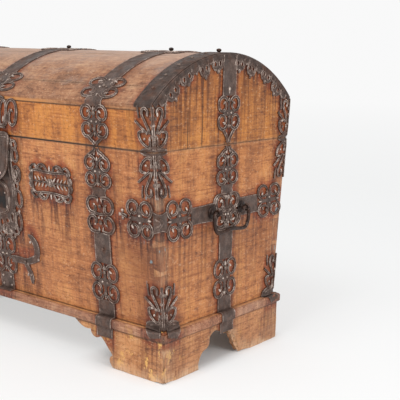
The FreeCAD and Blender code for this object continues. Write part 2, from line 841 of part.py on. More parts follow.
def lid_strap(offset, is_centre):
    wall_top = lid_wall_height / math.cos(lean_angle)
    lobes = [box_between(
        Vector(offset - half_strap, -eave_half_depth - fold_reach, eave_z - stave_board),
        Vector(offset + half_strap, eave_half_depth + fold_reach, ridge_z + fold_reach),
    )]
    holes = []
    eave_reach = centre_motif_reach if is_centre else eave_motif_reach
    for frame, angle_sign in ((front_wall, -1), (back_wall, 1)):
        u = offset if angle_sign < 0 else -offset
        v = wall_top * lid_motif_share
        winged = is_centre and angle_sign < 0
        spread_u = centre_wing_spread if winged else lobe_spread
        new_lobes, new_holes, spots = quatrefoil(frame, u, v, lid_motif_spread, spread_u=spread_u)
        if winged:
            lobes.append(bar(frame, u - spread_u, v - neck_width, u + spread_u, v + neck_width))
        lobes += new_lobes
        holes += new_holes
        lid_nails.extend(spots)
        lower = dome_wall(angle_sign * eave_motif_angle_share * dome_half_angle)
        upper = dome_wall(angle_sign * ridge_motif_angle)
        for way in (-1, 1):
            for radius, hole, wall, spread in (
                (eave_lobe_radius, eave_lobe_hole, lower, eave_reach),
                (small_lobe_radius, small_lobe_hole, upper, ridge_motif_reach),
            ):
                lobes.append(disc(wall, offset + way * spread, 0, radius))
                lobes.append(bar(wall, offset - spread, -neck_width / 4, offset + spread, neck_width / 4))
                holes.append(disc(wall, offset + way * spread, 0, hole))
        lid_nails.append((lower, offset, 0))
    if is_centre:
        lobes.append(bar(front_wall, offset - hasp_width / 2, hasp_pivot_rise - hasp_barrel_radius,
                         offset + hasp_width / 2, wall_top * lid_neck_share))
        lobes.append(bar(front_wall, offset - half_strap, hasp_pivot_rise, offset + half_strap, wall_top))
    else:
        lobes.append(pointed(front_wall, offset, half_strap, wall_top * lid_neck_share,
                             wall_top * lid_point_share))
    lobes.append(bar(back_wall, -offset - half_strap, 0, half_strap - offset, wall_top))
    return lobes, holes


barrel_bite = iron / 2
hasp_axis_out = iron + bedding_gap + hasp_barrel_radius - barrel_bite
lid_straps = {}
back_leaves = {}
hinge_pins = []
for strap_name, offset in (("left", -side_strap_offset), ("centre", 0.0), ("right", side_strap_offset)):
    is_centre = strap_name == "centre"
    barrels, rooms, pin = hinge_parts(offset)
    hinge_pins.append(pin)
    lobes, holes = lid_strap(offset, is_centre)
    strap = cut_iron(lid_skin, lobes, holes, [rooms[0], rooms[2]])
    middle_barrel, middle_bore = barrels[1]
    strap = fuse([strap, middle_barrel]).cut(middle_bore)
    if is_centre:
        half_gap = hasp_barrel_width / 2 + sliding_clearance
        notch = Part.makeCylinder(hasp_barrel_radius + sliding_clearance, 2 * half_gap,
                                  Vector(-half_gap, -hasp_axis_out, hasp_pivot_rise), X_AXIS)
        notch.Placement = front_wall
        strap = strap.cut(notch)
        for way in (-1, 1):
            inner = way * half_gap
            outer = way * half_strap
            barrel, bore = barrel_and_bore(hasp_barrel_radius, hasp_pin_radius, min(inner, outer),
                                           max(inner, outer), -hasp_axis_out, hasp_pivot_rise)
            barrel.Placement = front_wall
            bore.Placement = front_wall
            strap = fuse([strap, barrel]).cut(bore)
    lid_straps["lid_strap_" + strap_name] = strap
    leaf_lobes = [bar(back_wall, -offset - half_strap, -hinge_leaf_length, half_strap - offset, 0)]
    new_lobes, leaf_holes, spots = quatrefoil(back_wall, -offset, -hinge_leaf_length, lobe_spread)
    leaf = cut_iron(case_skin, leaf_lobes + new_lobes, leaf_holes, [rooms[1]])
    case_nails.extend(spots)
    case_nails.append((back_wall, -offset, -hinge_leaf_length / 3))
    for barrel, bore in (barrels[0], barrels[2]):
        leaf = fuse([leaf, barrel]).cut(bore)
    back_leaves["back_hinge_" + strap_name] = leaf

# The hasp hangs plumb from its pin, clear of the leaning front.
hasp_pivot = front_wall.multVec(Vector(0, -hasp_axis_out, hasp_pivot_rise))
half_barrel = hasp_barrel_width / 2
hasp_barrel, hasp_bore = barrel_and_bore(hasp_barrel_radius, hasp_pin_radius + pin_clearance,
                                         -half_barrel, half_barrel, hasp_pivot.y, hasp_pivot.z)
hasp_back = hasp_pivot.y + hasp_barrel_radius - barrel_bite - 2 * sliding_clearance
hasp_plate_top = hasp_pivot.z - hasp_barrel_radius - 3 * sliding_clearance
hasp_tip_z = hasp_pivot.z - hasp_length + hasp_width / 2
hasp_plate = box_between(
    Vector(-hasp_width / 2, hasp_back - iron, hasp_tip_z),
    Vector(hasp_width / 2, hasp_back, hasp_plate_top),
)
hasp_tongue = box_between(
    Vector(-half_barrel, hasp_back - iron, hasp_plate_top - iron),
    Vector(half_barrel, hasp_back, hasp_pivot.z),
)
hasp_tip = Part.makeCylinder(hasp_width / 2, iron, Vector(0, hasp_back - iron, hasp_tip_z), Y_AXIS)
hasp = fuse([hasp_barrel, hasp_plate, hasp_tongue, hasp_tip]).cut(hasp_bore)
hasp_pin = Part.makeCylinder(hasp_pin_radius, strap_width, hasp_pivot.sub(Vector(half_strap, 0, 0)), X_AXIS)

# Bands round the ends of the dome, with a row of drops down the end boards.
edge_bands = {}
for end_name, wall, way in both_ends:
    middle_x = way * (half_length - edge_band_width / 2)
    half_band = edge_band_width / 2 + iron + bedding_gap
    strip = box_between(
        Vector(middle_x + way * iron - half_band, -eave_half_depth - fold_reach, eave_z),
        Vector(middle_x + way * iron + half_band, eave_half_depth + fold_reach, ridge_z + fold_reach),
    )
    hollow = dome_cylinder(dome_radius - valance_depth, half_length + sheet_reach)
    lobes = [strip.cut(hollow)]
    holes = []
    step = dome_half_angle / (drops_on_each_side + 1)
    drop_circle = dome_radius - valance_depth - drop_radius / 2
    for index in range(-drops_on_each_side, drops_on_each_side + 1):
        if index < drops_on_each_side:
            holes.append(disc(dome_wall((index + 1 / 2) * step), middle_x, 0, lobe_hole))
        if index != 0:
            turn = math.radians(index * step)
            u = way * drop_circle * math.sin(turn)
            v = dome_centre_z - seam_z + drop_circle * math.cos(turn)
            lobes.append(disc(wall, u, v, drop_radius))
            holes.append(disc(wall, u, v, drop_hole))
            lid_nails.append((dome_wall(index * step), middle_x, 0))
    edge_bands[end_name] = cut_iron(lid_skin, lobes, holes, lid_mounts)

# Straps down the arched ends of the lid.
lid_end_motif_share = 0.82
lid_end_point_share = 0.2
lid_end_straps = {}
for end_name, wall, way in both_ends:
    u = way * end_strap_offset
    v = lid_wall_height * lid_end_motif_share
    lobes, holes, spots = quatrefoil(wall, u, v, lobe_spread)
    lobes.append(bar(wall, u - half_strap, v, u + half_strap, ridge_z - seam_z))
    lobes.append(pointed(wall, u, half_strap, v - lobe_spread, lid_wall_height * lid_end_point_share))
    lid_end_straps[end_name] = cut_iron(lid_skin, lobes, holes, [edge_bands[end_name]])
    lid_nails.extend(spots)

# Round knobs on the ridge, one on each strap and each end band.
knobs = []
knob_seat = ridge_z + iron + bedding_gap
knob_places = [-side_strap_offset, 0, side_strap_offset]
knob_places += [way * (half_length - edge_band_width / 2) for way in (-1, 1)]
for place in knob_places:
    neck = Part.makeCylinder(knob_neck_radius, knob_rise, Vector(place, 0, knob_seat), Z_AXIS)
    ball = Part.makeSphere(knob_ball, Vector(place, 0, knob_seat + knob_rise))
    under = box_between(
        Vector(place - knob_ball, -knob_ball, knob_seat - knob_ball),
        Vector(place + knob_ball, knob_ball, knob_seat),
    )
    knobs.append(fuse([neck, ball]).cut(under))

# Bail handles: each hangs from two eyed staples on the band of its end.
bail_pivot_v = band_v
eye_u = bail_half_span - bail_elbow_radius - sliding_clearance - staple_thickness / 2


def staple(wall, centre, way):
    """Rose, neck and eye of one handle staple, standing on the band."""
    seat = iron + bedding_gap
    u = centre + way * eye_u
    rose = Part.makeCylinder(staple_rose_radius, staple_rose,
                             Vector(u, -seat - staple_rose, bail_pivot_v), Y_AXIS)
    neck_foot = Vector(u - staple_thickness / 2, -bail_stand_off, bail_pivot_v - staple_neck_width / 2)
    neck = Part.makeBox(staple_thickness, bail_stand_off - seat, staple_neck_width, neck_foot)
    eye = Part.makeCylinder(staple_eye_radius, staple_thickness,
                            Vector(u - staple_thickness / 2, -bail_stand_off, bail_pivot_v), X_AXIS)
    bore = Part.makeCylinder(bail_rod_radius + pin_clearance, staple_thickness,
                             Vector(u - staple_thickness / 2, -bail_stand_off, bail_pivot_v), X_AXIS)
    whole = fuse([rose, neck, eye]).cut(bore)
    whole.Placement = wall
    return whole


def bail(wall, centre):
    """A drop handle bent from round rod, its ends turned in through the eyes."""
    out = -bail_stand_off
    level = bail_pivot_v
    low = level - bail_drop
    pin_end = bail_half_span - bail_pin_length
    inner = Vector(pin_end, 0, 0)
    elbow = Vector(bail_half_span, 0, 0)
    shoulder = Vector(bail_half_span, 0, -2 * staple_eye_radius)
    foot = Vector(bail_half_grip, 0, -bail_drop)
    corners_of_bail = [inner, elbow, shoulder, foot, Vector(0, 0, -bail_drop)]
    bend_radii = [bail_elbow_radius, bail_corner_radius, bail_corner_radius]
    edges = []
    here = inner
    for index, radius in enumerate(bend_radii, 1):
        corner = corners_of_bail[index]
        before = corner.sub(corners_of_bail[index - 1]).normalize()
        after = corners_of_bail[index + 1].sub(corner).normalize()
        bend = before.getAngle(after)
        tangent = radius * math.tan(bend / 2)
        enter = corner.sub(before * tangent)
        leave = corner.add(after * tangent)
        towards = after.sub(before)
        towards.normalize()
        heart = corner.add(towards * (radius / math.cos(bend / 2)))
        middle = heart.sub(towards * radius)
        edges.append(Part.makeLine(here, enter))
        edges.append(Part.Arc(enter, middle, leave).toShape())
        here = leave
    edges.append(Part.makeLine(here, Vector(0, 0, -bail_drop)))
    path = Part.Wire(edges)
    section = Part.Wire([Part.makeCircle(bail_rod_radius, inner, X_AXIS)])
    half = path.makePipeShell([section], True, False)
    whole = fuse([half, mirrored(half, X_AXIS)])
    whole.translate(Vector(centre, out, level))
    whole.Placement = wall.multiply(whole.Placement)
    return whole


staples = {}
bails = {}
for end_name, wall, way in both_ends:
    centre = way * end_strap_offset
    staples[end_name] = Part.makeCompound([staple(wall, centre, hand) for hand in (-1, 1)])
    bails[end_name] = bail(wall, centre)

# Lock: an iron box on the inside, a sliding bolt, and the keeper that drops in from the lid.
inner_face = side_board
case_top_v = -lock_case_drop
case_bottom_v = case_top_v - lock_case_height
half_lock = lock_case_length / 2
lock_box = Part.makeBox(lock_case_length, lock_case_depth, lock_case_height,
                        Vector(-half_lock, inner_face, case_bottom_v))
lock_room = Part.makeBox(lock_case_length - 2 * lock_case_wall, lock_case_depth - lock_case_wall,
                         lock_case_height - 2 * lock_case_wall,
                         Vector(lock_case_wall - half_lock, inner_face, case_bottom_v + lock_case_wall))
keeper_y = inner_face + lock_case_depth / 2
mouth = Part.makeBox(keeper_thickness + 2 * lock_mouth_margin, keeper_width + 2 * lock_mouth_margin,
                     overrun + lock_case_wall,
                     Vector(-keeper_thickness / 2 - lock_mouth_margin,
                            keeper_y - keeper_width / 2 - lock_mouth_margin, case_top_v - lock_case_wall))
bolt_v = -bolt_drop
bolt_start = keeper_thickness / 2 + lock_mouth_margin
shelf_low = bolt_v - bolt_height / 2 - lock_case_wall
shelf = Part.makeBox(half_lock - lock_case_wall - bolt_start, lock_case_depth - lock_case_wall,
                     lock_case_wall, Vector(bolt_start, inner_face, shelf_low))
stop_u = bolt_start - bolt_travel
bolt_stop = Part.makeBox(lock_case_wall, lock_case_depth - lock_case_wall, bolt_height + lock_case_wall,
                         Vector(stop_u - lock_case_wall, inner_face, shelf_low))
lock_case = fuse([lock_box.cut(lock_room).cut(mouth), shelf, bolt_stop])
lock_case.Placement = front_wall
lock_bolt = Part.makeBox(half_lock - lock_case_wall - bolt_start, bolt_width, bolt_height,
                         Vector(bolt_start, keeper_y - bolt_width / 2, bolt_v - bolt_height / 2))
lock_bolt.Placement = front_wall

keeper_low = -keeper_reach
tongue = Part.makeBox(keeper_thickness, keeper_width, keeper_reach + keeper_plate_height / 2,
                      Vector(-keeper_thickness / 2, keeper_y - keeper_width / 2, keeper_low))
window = Part.makeBox(keeper_thickness, bolt_width + 2 * hinge_clearance, bolt_height + 2 * hinge_clearance,
                      Vector(-keeper_thickness / 2, keeper_y - bolt_width / 2 - hinge_clearance,
                             bolt_v - bolt_height / 2 - hinge_clearance))
keeper_base = Part.makeBox(keeper_plate_width, keeper_plate, keeper_plate_height,
                           Vector(-keeper_plate_width / 2, inner_face, hinge_clearance))
keeper_web = Part.makeBox(keeper_thickness, keeper_y - inner_face, keeper_plate_height / 2,
                          Vector(-keeper_thickness / 2, inner_face, hinge_clearance))
keeper = fuse([tongue, keeper_base, keeper_web]).cut(window)
keeper.Placement = front_wall

# The key slot goes on through the board into the lock.
key_way = Part.makeBox(key_slot_width, side_board + 2 * overrun, key_slot_height,
                       Vector(-key_slot_width / 2, -overrun, -key_slot_drop - key_slot_height))
key_way.Placement = front_wall
front_board = front_board.cut(key_way)


# Nails: a domed head on the iron and a shank driven through it into the board.
def nail(spot):
    frame, u, v = spot
    seat = -iron - bedding_gap
    sink = nail_head_ball * math.sin(math.radians(nail_head_cut_angle))
    head = Part.makeSphere(nail_head_ball, Vector(u, seat + sink, v), Y_AXIS.negative(),
                           nail_head_cut_angle, 90, 360)
    shank = Part.makeCylinder(nail_radius, nail_length, Vector(u, seat, v), Y_AXIS)
    whole = fuse([head, shank])
    whole.Placement = frame
    return whole


def nail_hole(spot):
    frame, u, v = spot
    hole = Part.makeCylinder(nail_radius + bedding_gap, nail_length + overrun,
                             Vector(u, -iron - overrun, v), Y_AXIS)
    hole.Placement = frame
    return hole


case_holes = [nail_hole(spot) for spot in case_nails]
lid_holes = [nail_hole(spot) for spot in lid_nails]


def nailed(shape, holes):
    """The piece with the holes of every nail that meets it."""
    near = [hole for hole in holes if shape.BoundBox.intersect(hole.BoundBox)]
    return shape.cut(near) if near else shape


case_pieces = {
    "front_board": front_board,
    "back_board": back_board,
    "right_end_board": right_end_board,
    "left_end_board": left_end_board,
    "lock_plate": lock_plate,
    "lock_strap": lock_strap,
}
case_pieces.update(front_straps)
case_pieces.update(end_straps)
case_pieces.update(wrap_bands)
case_pieces.update(plaques)
case_pieces.update(back_leaves)
for piece_name, piece in case_pieces.items():
    save(nailed(piece, case_holes), piece_name)
save(Part.makeCompound([nailed(mount, case_holes) for mount in upper_mounts]), "upper_corner_mounts")
save(Part.makeCompound([nailed(mount, case_holes) for mount in lower_mounts]), "lower_corner_mounts")
save(Part.makeCompound(bottom_planks), "bottom_planks")
save(Part.makeCompound(hinge_pins), "hinge_pins")
save(Part.makeCompound([nail(spot) for spot in case_nails]), "case_nails")
save(lock_case, "lock_case")
save(lock_bolt, "lock_bolt")

lid_pieces = {
    "lid_front_rail": lid_front_rail,
    "lid_back_rail": lid_back_rail,
    "lid_left_arch": lid_left_arch,
    "lid_right_arch": lid_right_arch,
}
for number, stave in enumerate(staves, 1):
    lid_pieces["stave_" + str(number)] = stave
lid_pieces.update(lid_straps)
for piece_name, piece in lid_pieces.items():
    save(nailed(piece, lid_holes), piece_name)
for end_name in edge_bands:
    save(nailed(edge_bands[end_name], lid_holes), "edge_band_" + end_name)
    save(nailed(lid_end_straps[end_name], lid_holes), "lid_end_strap_" + end_name)
    save(staples[end_name], "handle_staples_" + end_name)
    save(bails[end_name], "bail_" + end_name)
save(Part.makeCompound([nailed(mount, lid_holes) for mount in lid_mounts]), "lid_corner_mounts")
save(Part.makeCompound([nail(spot) for spot in lid_nails]), "lid_nails")
save(Part.makeCompound(knobs), "ridge_knobs")
save(keeper, "lid_keeper")
save(hasp, "hasp")
save(hasp_pin, "hasp_pin")
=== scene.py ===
import math

import bmesh
import bpy
import numpy as np
from mathutils import Matrix, Vector, noise
from mathutils.bvhtree import BVHTree


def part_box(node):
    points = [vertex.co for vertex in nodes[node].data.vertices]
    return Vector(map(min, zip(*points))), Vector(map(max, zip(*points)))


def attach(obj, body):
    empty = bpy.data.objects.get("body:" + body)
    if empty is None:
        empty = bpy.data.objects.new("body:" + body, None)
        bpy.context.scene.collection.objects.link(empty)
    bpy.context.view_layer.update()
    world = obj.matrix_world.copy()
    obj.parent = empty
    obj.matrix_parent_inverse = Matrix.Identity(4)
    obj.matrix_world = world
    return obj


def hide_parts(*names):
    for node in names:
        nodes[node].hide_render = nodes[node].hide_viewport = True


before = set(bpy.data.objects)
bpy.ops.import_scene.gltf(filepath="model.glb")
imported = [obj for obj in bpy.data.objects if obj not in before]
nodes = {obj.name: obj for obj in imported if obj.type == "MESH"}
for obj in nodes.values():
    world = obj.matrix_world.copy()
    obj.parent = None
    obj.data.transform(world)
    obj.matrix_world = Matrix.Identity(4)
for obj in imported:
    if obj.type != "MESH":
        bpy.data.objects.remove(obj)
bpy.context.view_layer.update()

# The sizes of the chest that the iron work follows, in millimetres, read from the boards.
# The walls lean out a little towards the top, and the lid is a low barrel vault.
board_low, board_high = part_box("front_board")
half_length, seam, plinth_top = board_high.x * 1000, board_high.z * 1000, board_low.z * 1000
seam_half_depth = -board_low.y * 1000
plinth_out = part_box("plinth_right_end")[1].x * 1000 - half_length
foot_half_depth = -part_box("plinth_front")[0].y * 1000 - plinth_out
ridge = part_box("stave_3")[1].z * 1000
eave_half_depth = -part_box("stave_1")[0].y * 1000
lean = (seam_half_depth - foot_half_depth) / (seam - plinth_top)
eave = seam + (eave_half_depth - seam_half_depth) / lean
dome_radius = (eave_half_depth ** 2 + (ridge - eave) ** 2) / (2 * (ridge - eave))
dome_middle = ridge - dome_radius


# Case boards. Wide planks of old oak, rift sawn and planed by hand, dovetailed at the corners.
# Oil, dirt and three centuries of handling have browned them, and iron has stained them dark.
def srgb(code):
    """The linear colour of an sRGB hex code."""
    parts = [int(code[k:k + 2], 16) / 255 for k in (1, 3, 5)]
    return tuple(c / 12.92 if c <= 0.04045 else ((c + 0.055) / 1.055) ** 2.4 for c in parts) + (1.0,)


def add(tree, kind, settings=None, inputs=None):
    """Adds a node with its settings, and with a value or a link for each input named."""
    made = tree.nodes.new(kind)
    for name, value in (settings or {}).items():
        setattr(made, name, value)
    for socket, value in (inputs or {}).items():
        if isinstance(value, bpy.types.NodeSocket):
            tree.links.new(value, made.inputs[socket])
        else:
            made.inputs[socket].default_value = value
    return made


# What a word in a row stands for: the kind of node, its settings, its inputs in order and its output.
# Any other word is an operation on numbers.
works = {"RANGE": ("ShaderNodeMapRange", {}, range(5), 0),
         "SUM": ("ShaderNodeMath", {"operation": "ADD", "use_clamp": True}, range(2), 0),
         "SHARE": ("ShaderNodeMix", {"data_type": "FLOAT"}, (0, 2, 3), 0),
         "MIX": ("ShaderNodeMix", {"data_type": "RGBA"}, (0, 6, 7), 2),
         "DARKEN": ("ShaderNodeMix", {"data_type": "RGBA", "blend_type": "MULTIPLY"}, (0, 6, 7), 2)}


def worked(tree, values, rows):
    """Adds a node for each row: the name of its value, its work, and the values, numbers or colours given."""
    for name, work, *given in rows:
        kind, settings, slots, out = works.get(work, ("ShaderNodeMath", {"operation": work}, range(2), 0))
        given = [g if not isinstance(g, str) else srgb(g) if g[0] == "#" else values[g] for g in given]
        values[name] = add(tree, kind, settings, dict(zip(slots, given))).outputs[out]
    return values


def cloud(tree, where, scale, stretch=(1, 1, 1), detail=3.0, rough=0.5, turn=0.0, shift=(0, 0, 0)):
    """Noise with its patches 1/scale metres wide, stretched along the grain."""
    laid = add(tree, "ShaderNodeMapping", {}, {0: where, "Rotation": (0, 0, turn), "Location": shift})
    sized = add(tree, "ShaderNodeMapping", {}, {0: laid.outputs[0], "Scale": stretch})
    return add(tree, "ShaderNodeTexNoise", {}, {"Vector": sized.outputs[0], "Scale": scale, "Detail": detail,
                                               "Roughness": rough}).outputs[0]


def oak(name, dark, middle, light, across, grey_and_top_sheen=0.0, glow=0.0, stains=1.0, runs=0.55, chips=0.0, seams=(),
        soil=0.0, gold=0.0, cracks=()):
    """Oiled oak in three browns. Its grain runs along X, or along Y where the board lies across.

    Shares: grey_and_top_sheen greys it in pale patches and lightens the top of the vault with a painted
    sheen, glow makes golden patches, stains draws thin dark lines all over and runs more of them below the
    iron, chips bares spots, and soil darkens the lower right end and flecks it blue. Dirt and painted shade
    lie in seams, each a height, a half width and a depth. Below the height gold is a golden strip. A crack is
    a place along Y and two heights.
    """
    material = bpy.data.materials.new(name)
    material.use_nodes = True
    tree = material.node_tree
    shader = tree.nodes["Principled BSDF"]
    where = add(tree, "ShaderNodeTexCoord").outputs["Object"]
    turn = math.pi / 2 if across else 0.0
    values = dict(zip("xyz", add(tree, "ShaderNodeSeparateXYZ", {}, {0: where}).outputs))
    # The pores of oak are too fine to show from here, so each line stands for a row of them.
    for value, scale, stretch, detail, rough, direction, shift in (
            ("broad", 3.4, (1, 1, 1.8), 3.0, 0.6, turn, (0, 0, 0)),
            ("streak", 1.0, (5, 75, 90), 3.0, 0.6, turn, (0, 0, 0)),
            ("line", 1.0, (9, 200, 240), 2.0, 0.6, turn, (3, 1, 2)),
            ("run", 1.0, (24, 24, 2.2), 3.0, 0.6, 0.0, (2, 6, 4)),
            ("narrow", 1.0, (70, 70, 3), 2.0, 0.6, 0.0, (8, 3, 1)),
            ("weave", 1.0, (190, 190, 22), 2.0, 0.6, 0.0, (6, 2, 9)),
            ("speck", 210.0, (0.6, 1, 1), 2.0, 0.6, turn, (1, 8, 5)),
            ("mottle", 75.0, (0.4, 1, 1), 4.0, 0.75, turn, (4, 5, 4)),
            ("patchy", 8.0, (1, 1, 1), 3.0, 0.6, turn, (5, 1, 6)),
            ("chipped", 1.0, (38, 38, 20), 4.0, 0.7, 0.0, (3, 7, 2)),
            ("pale", 7.0, (1, 1, 1), 4.0, 0.7, turn, (9, 2, 2)),
            ("flecks", 45.0, (1, 1, 0.6), 2.0, 0.5, 0.0, (2, 2, 7))):
        values[value] = cloud(tree, where, scale, stretch, detail, rough, direction, shift)
    for mark in ("stain", "close", "wear", "grime"):
        values[mark] = add(tree, "ShaderNodeAttribute", {"attribute_name": mark}).outputs["Fac"]
    worked(tree, values, (("broad", "SHARE", 0.5, "broad", "run"), ("fine", "SHARE", 0.5, "streak", "line"),
                          ("fine", "SHARE", 0.55, "fine", "mottle"),
                          ("tone", "SHARE", 0.42, "broad", "fine")))
    colours = add(tree, "ShaderNodeValToRGB", {}, {0: values["tone"]})
    stops = colours.color_ramp.elements
    stops[0].position, stops[0].color = 0.38, srgb(dark)
    stops[1].position, stops[1].color = 0.62, srgb(light)
    stops.new(0.5).color = srgb(middle)
    values["colour"] = colours.outputs[0]
    # Golden patches, the lines of the grain, and the mottle of old oil.
    rows = [("golden", "RANGE", "run", 0.42, 0.6, 0.15, 1.0), ("golden", "MULTIPLY", "golden", glow),
            ("colour", "MIX", "golden", "colour", "#d98d3e"),
            ("lines", "RANGE", "line", 0.47, 0.3, 0.0, 0.4),
            ("colour", "DARKEN", "lines", "colour", "#a3775a"),
            ("patchy", "RANGE", "patchy", 0.42, 0.6, 0.1, 1.0),
            ("woven", "RANGE", "weave", 0.47, 0.3, 0.0, 0.5), ("woven", "MULTIPLY", "patchy", "woven"),
            ("colour", "DARKEN", "woven", "colour", "#a3775a"),
            ("oiled", "RANGE", "mottle", 0.46, 0.32, 0.0, 0.5),
            ("colour", "DARKEN", "oiled", "colour", "#9c6f55")]
    # Dark runs below the iron, and the reddened wood close to it.
    rows += [("reach", "MULTIPLY", "stain", runs), ("reach", "SUM", "reach", 0.14 * stains),
             ("runs", "RANGE", "narrow", 0.46, 0.61), ("runs", "MULTIPLY", "runs", "reach"),
             ("colour", "DARKEN", "runs", "colour", "#7d5a49"),
             ("wide", "RANGE", "run", 0.35, 0.6, 0.2, 0.75), ("wide", "MULTIPLY", "stain", "wide"),
             ("colour", "DARKEN", "wide", "colour", "#97705c"), ("red", "MULTIPLY", "close", 0.7),
             ("colour", "DARKEN", "red", "colour", "#c06f44")]
    # Chips of bare wood, most of them on the right front foot, and greyed and specked places.
    rows += [("foot", "RANGE", "x", 0.4, 0.5), ("front", "RANGE", "y", -0.17, -0.23),
             ("foot", "MULTIPLY", "foot", "front"), ("foot", "MULTIPLY", "foot", 0.75),
             ("foot", "SUM", "foot", 0.25), ("chipped", "RANGE", "chipped", 0.56, 0.62, 0.0, chips),
             ("chipped", "MULTIPLY", "chipped", "foot"), ("colour", "MIX", "chipped", "colour", "#ecb765"),
             ("pale", "RANGE", "pale", 0.5, 0.72, 0.0, 0.6 * grey_and_top_sheen),
             ("colour", "MIX", "pale", "colour", "#a8958a"),
             ("lit", "RANGE", "speck", 0.6, 0.74, 0.0, 0.45),
             ("colour", "MIX", "lit", "colour", "#e3bd97"),
             ("pits", "RANGE", "speck", 0.42, 0.28, 0.0, 0.6),
             ("colour", "DARKEN", "pits", "colour", "#7d5a48")]
    # Rubbed edges, but not under the iron.
    rows += [("rubbed", "RANGE", "weave", 0.38, 0.58, 0.35, 1.0), ("rubbed", "MULTIPLY", "wear", "rubbed"),
             ("bare", "RANGE", "close", 0.2, 0.8, 1.0, 0.25), ("rubbed", "MULTIPLY", "rubbed", "bare"),
             ("colour", "MIX", "rubbed", "colour", "#dcb692")]
    # The golden strip below a height, the darker lower right end with its blue flecks, and a painted sheen
    # that lightens the top of the vault.
    rows += [("below", "RANGE", "z", (gold + 6) / 1000, gold / 1000),
             ("strip", "RANGE", "streak", 0.4, 0.6, 0.1, 0.75), ("strip", "MULTIPLY", "below", "strip"),
             ("fading", "RANGE", "x", 0.2, 0.5, 1.0, 0.3), ("strip", "MULTIPLY", "strip", "fading"),
             # Darker towards the lower right end, with blue flecks at the end.
             ("colour", "MIX", "strip", "colour", "#d38f4f"), ("end", "RANGE", "x", 0.4, 0.58),
             ("low", "RANGE", "z", 0.55, 0.3), ("soiled", "MULTIPLY", "end", "low"),
             ("soiled", "MULTIPLY", "soiled", soil), ("smears", "RANGE", "run", 0.4, 0.6, 0.4, 0.9),
             ("soiled", "MULTIPLY", "soiled", "smears"),
             ("colour", "DARKEN", "soiled", "colour", "#b59a8c"), ("flecks", "RANGE", "flecks", 0.66, 0.7),
             ("edge", "RANGE", "x", 0.56, 0.58), ("flecks", "MULTIPLY", "flecks", "edge"),
             ("flecks", "MULTIPLY", "flecks", 0.8 * soil),
             ("colour", "MIX", "flecks", "colour", "#7f959b"), ("bleached", "RANGE", "z", 0.8, 0.845),
             ("bleached", "MULTIPLY", "bleached", 0.45 * grey_and_top_sheen),
             ("colour", "MIX", "bleached", "colour", "#d3bbab")]
    # Each seam is a dark line of dirt and painted shade.
    for height, half, depth in seams:
        rows += [("gap", "SUBTRACT", "z", height / 1000), ("gap", "ABSOLUTE", "gap"),
                 ("gap", "RANGE", "gap", half / 3000, half / 1000, depth, 0.0),
                 ("along", "RANGE", "x", 0.1, 0.6, 1.0, 0.7), ("gap", "MULTIPLY", "gap", "along"),
                 ("colour", "DARKEN", "gap", "colour", "#1a100b")]
    for spot, low, high in cracks:
        rows += [("crack", "RANGE", "run", 0.3, 0.7, (spot - 4) / 1000, (spot + 4) / 1000),
                 ("crack", "SUBTRACT", "crack", "y"), ("crack", "ABSOLUTE", "crack"),
                 ("crack", "RANGE", "crack", 0.0008, 0.0022, 0.85, 0.0),
                 ("bottom", "RANGE", "z", (low - 15) / 1000, low / 1000),
                 ("top", "RANGE", "z", (high + 15) / 1000, high / 1000),
                 ("length", "MULTIPLY", "bottom", "top"), ("crack", "MULTIPLY", "crack", "length"),
                 ("colour", "DARKEN", "crack", "colour", "#2a1b13")]
    # Dirt and painted shade darken the joints where boards meet.
    rows += [("colour", "DARKEN", "grime", "colour", "#2a1b13"),
             ("gloss", "RANGE", "streak", 0.3, 0.7, 0.42, 0.6), ("height", "SUM", "line", "speck")]
    worked(tree, values, rows)
    tree.links.new(values["colour"], shader.inputs["Base Color"])
    tree.links.new(values["gloss"], shader.inputs["Roughness"])
    bump = add(tree, "ShaderNodeBump", {}, {"Height": values["height"], "Distance": 0.0009, "Strength": 0.5})
    tree.links.new(bump.outputs[0], shader.inputs["Normal"])
    shader.inputs["IOR"].default_value = 1.5
    return material


def half_depth(z):
    return foot_half_depth + lean * (z - plinth_top)


def surface_of(names):
    """A search tree of the faces of some nodes."""
    corners, faces = [], []
    for name in names:
        data = nodes[name].data
        start = len(corners)
        corners += [v.co.copy() for v in data.vertices]
        faces += [tuple(start + v for v in face.vertices) for face in data.polygons]
    return BVHTree.FromPolygons(corners, faces)


wooden_words = ("board", "plinth", "stave", "rail", "arch")
wooden = [name for name in nodes if any(word in name for word in wooden_words)]
iron_words = ("strap", "band", "mount", "lock_plate", "plaque", "hinge_", "staples")
iron_near = surface_of([name for name in nodes if any(word in name for word in iron_words)])


def finish_faces(mesh, angle=40):
    mesh.polygons.foreach_set("use_smooth", [True] * len(mesh.polygons))
    mesh.set_sharp_from_angle(angle=math.radians(angle))


# How far wear, the stain of iron, and dirt and painted shade in the joints reach on a board, in metres, and
# how far below iron its drips show.
weld, fit, joint_gap = 1e-5, 0.002, 0.005
seam_rim, corner_rim = 0.01, 0.03
drips, drip_wide, drip_long = (0.025, 0.055, 0.09, 0.13, 0.18), 0.014, 0.24
near_iron, worn_corner, worn_floor = 0.009, 0.014, 0.015


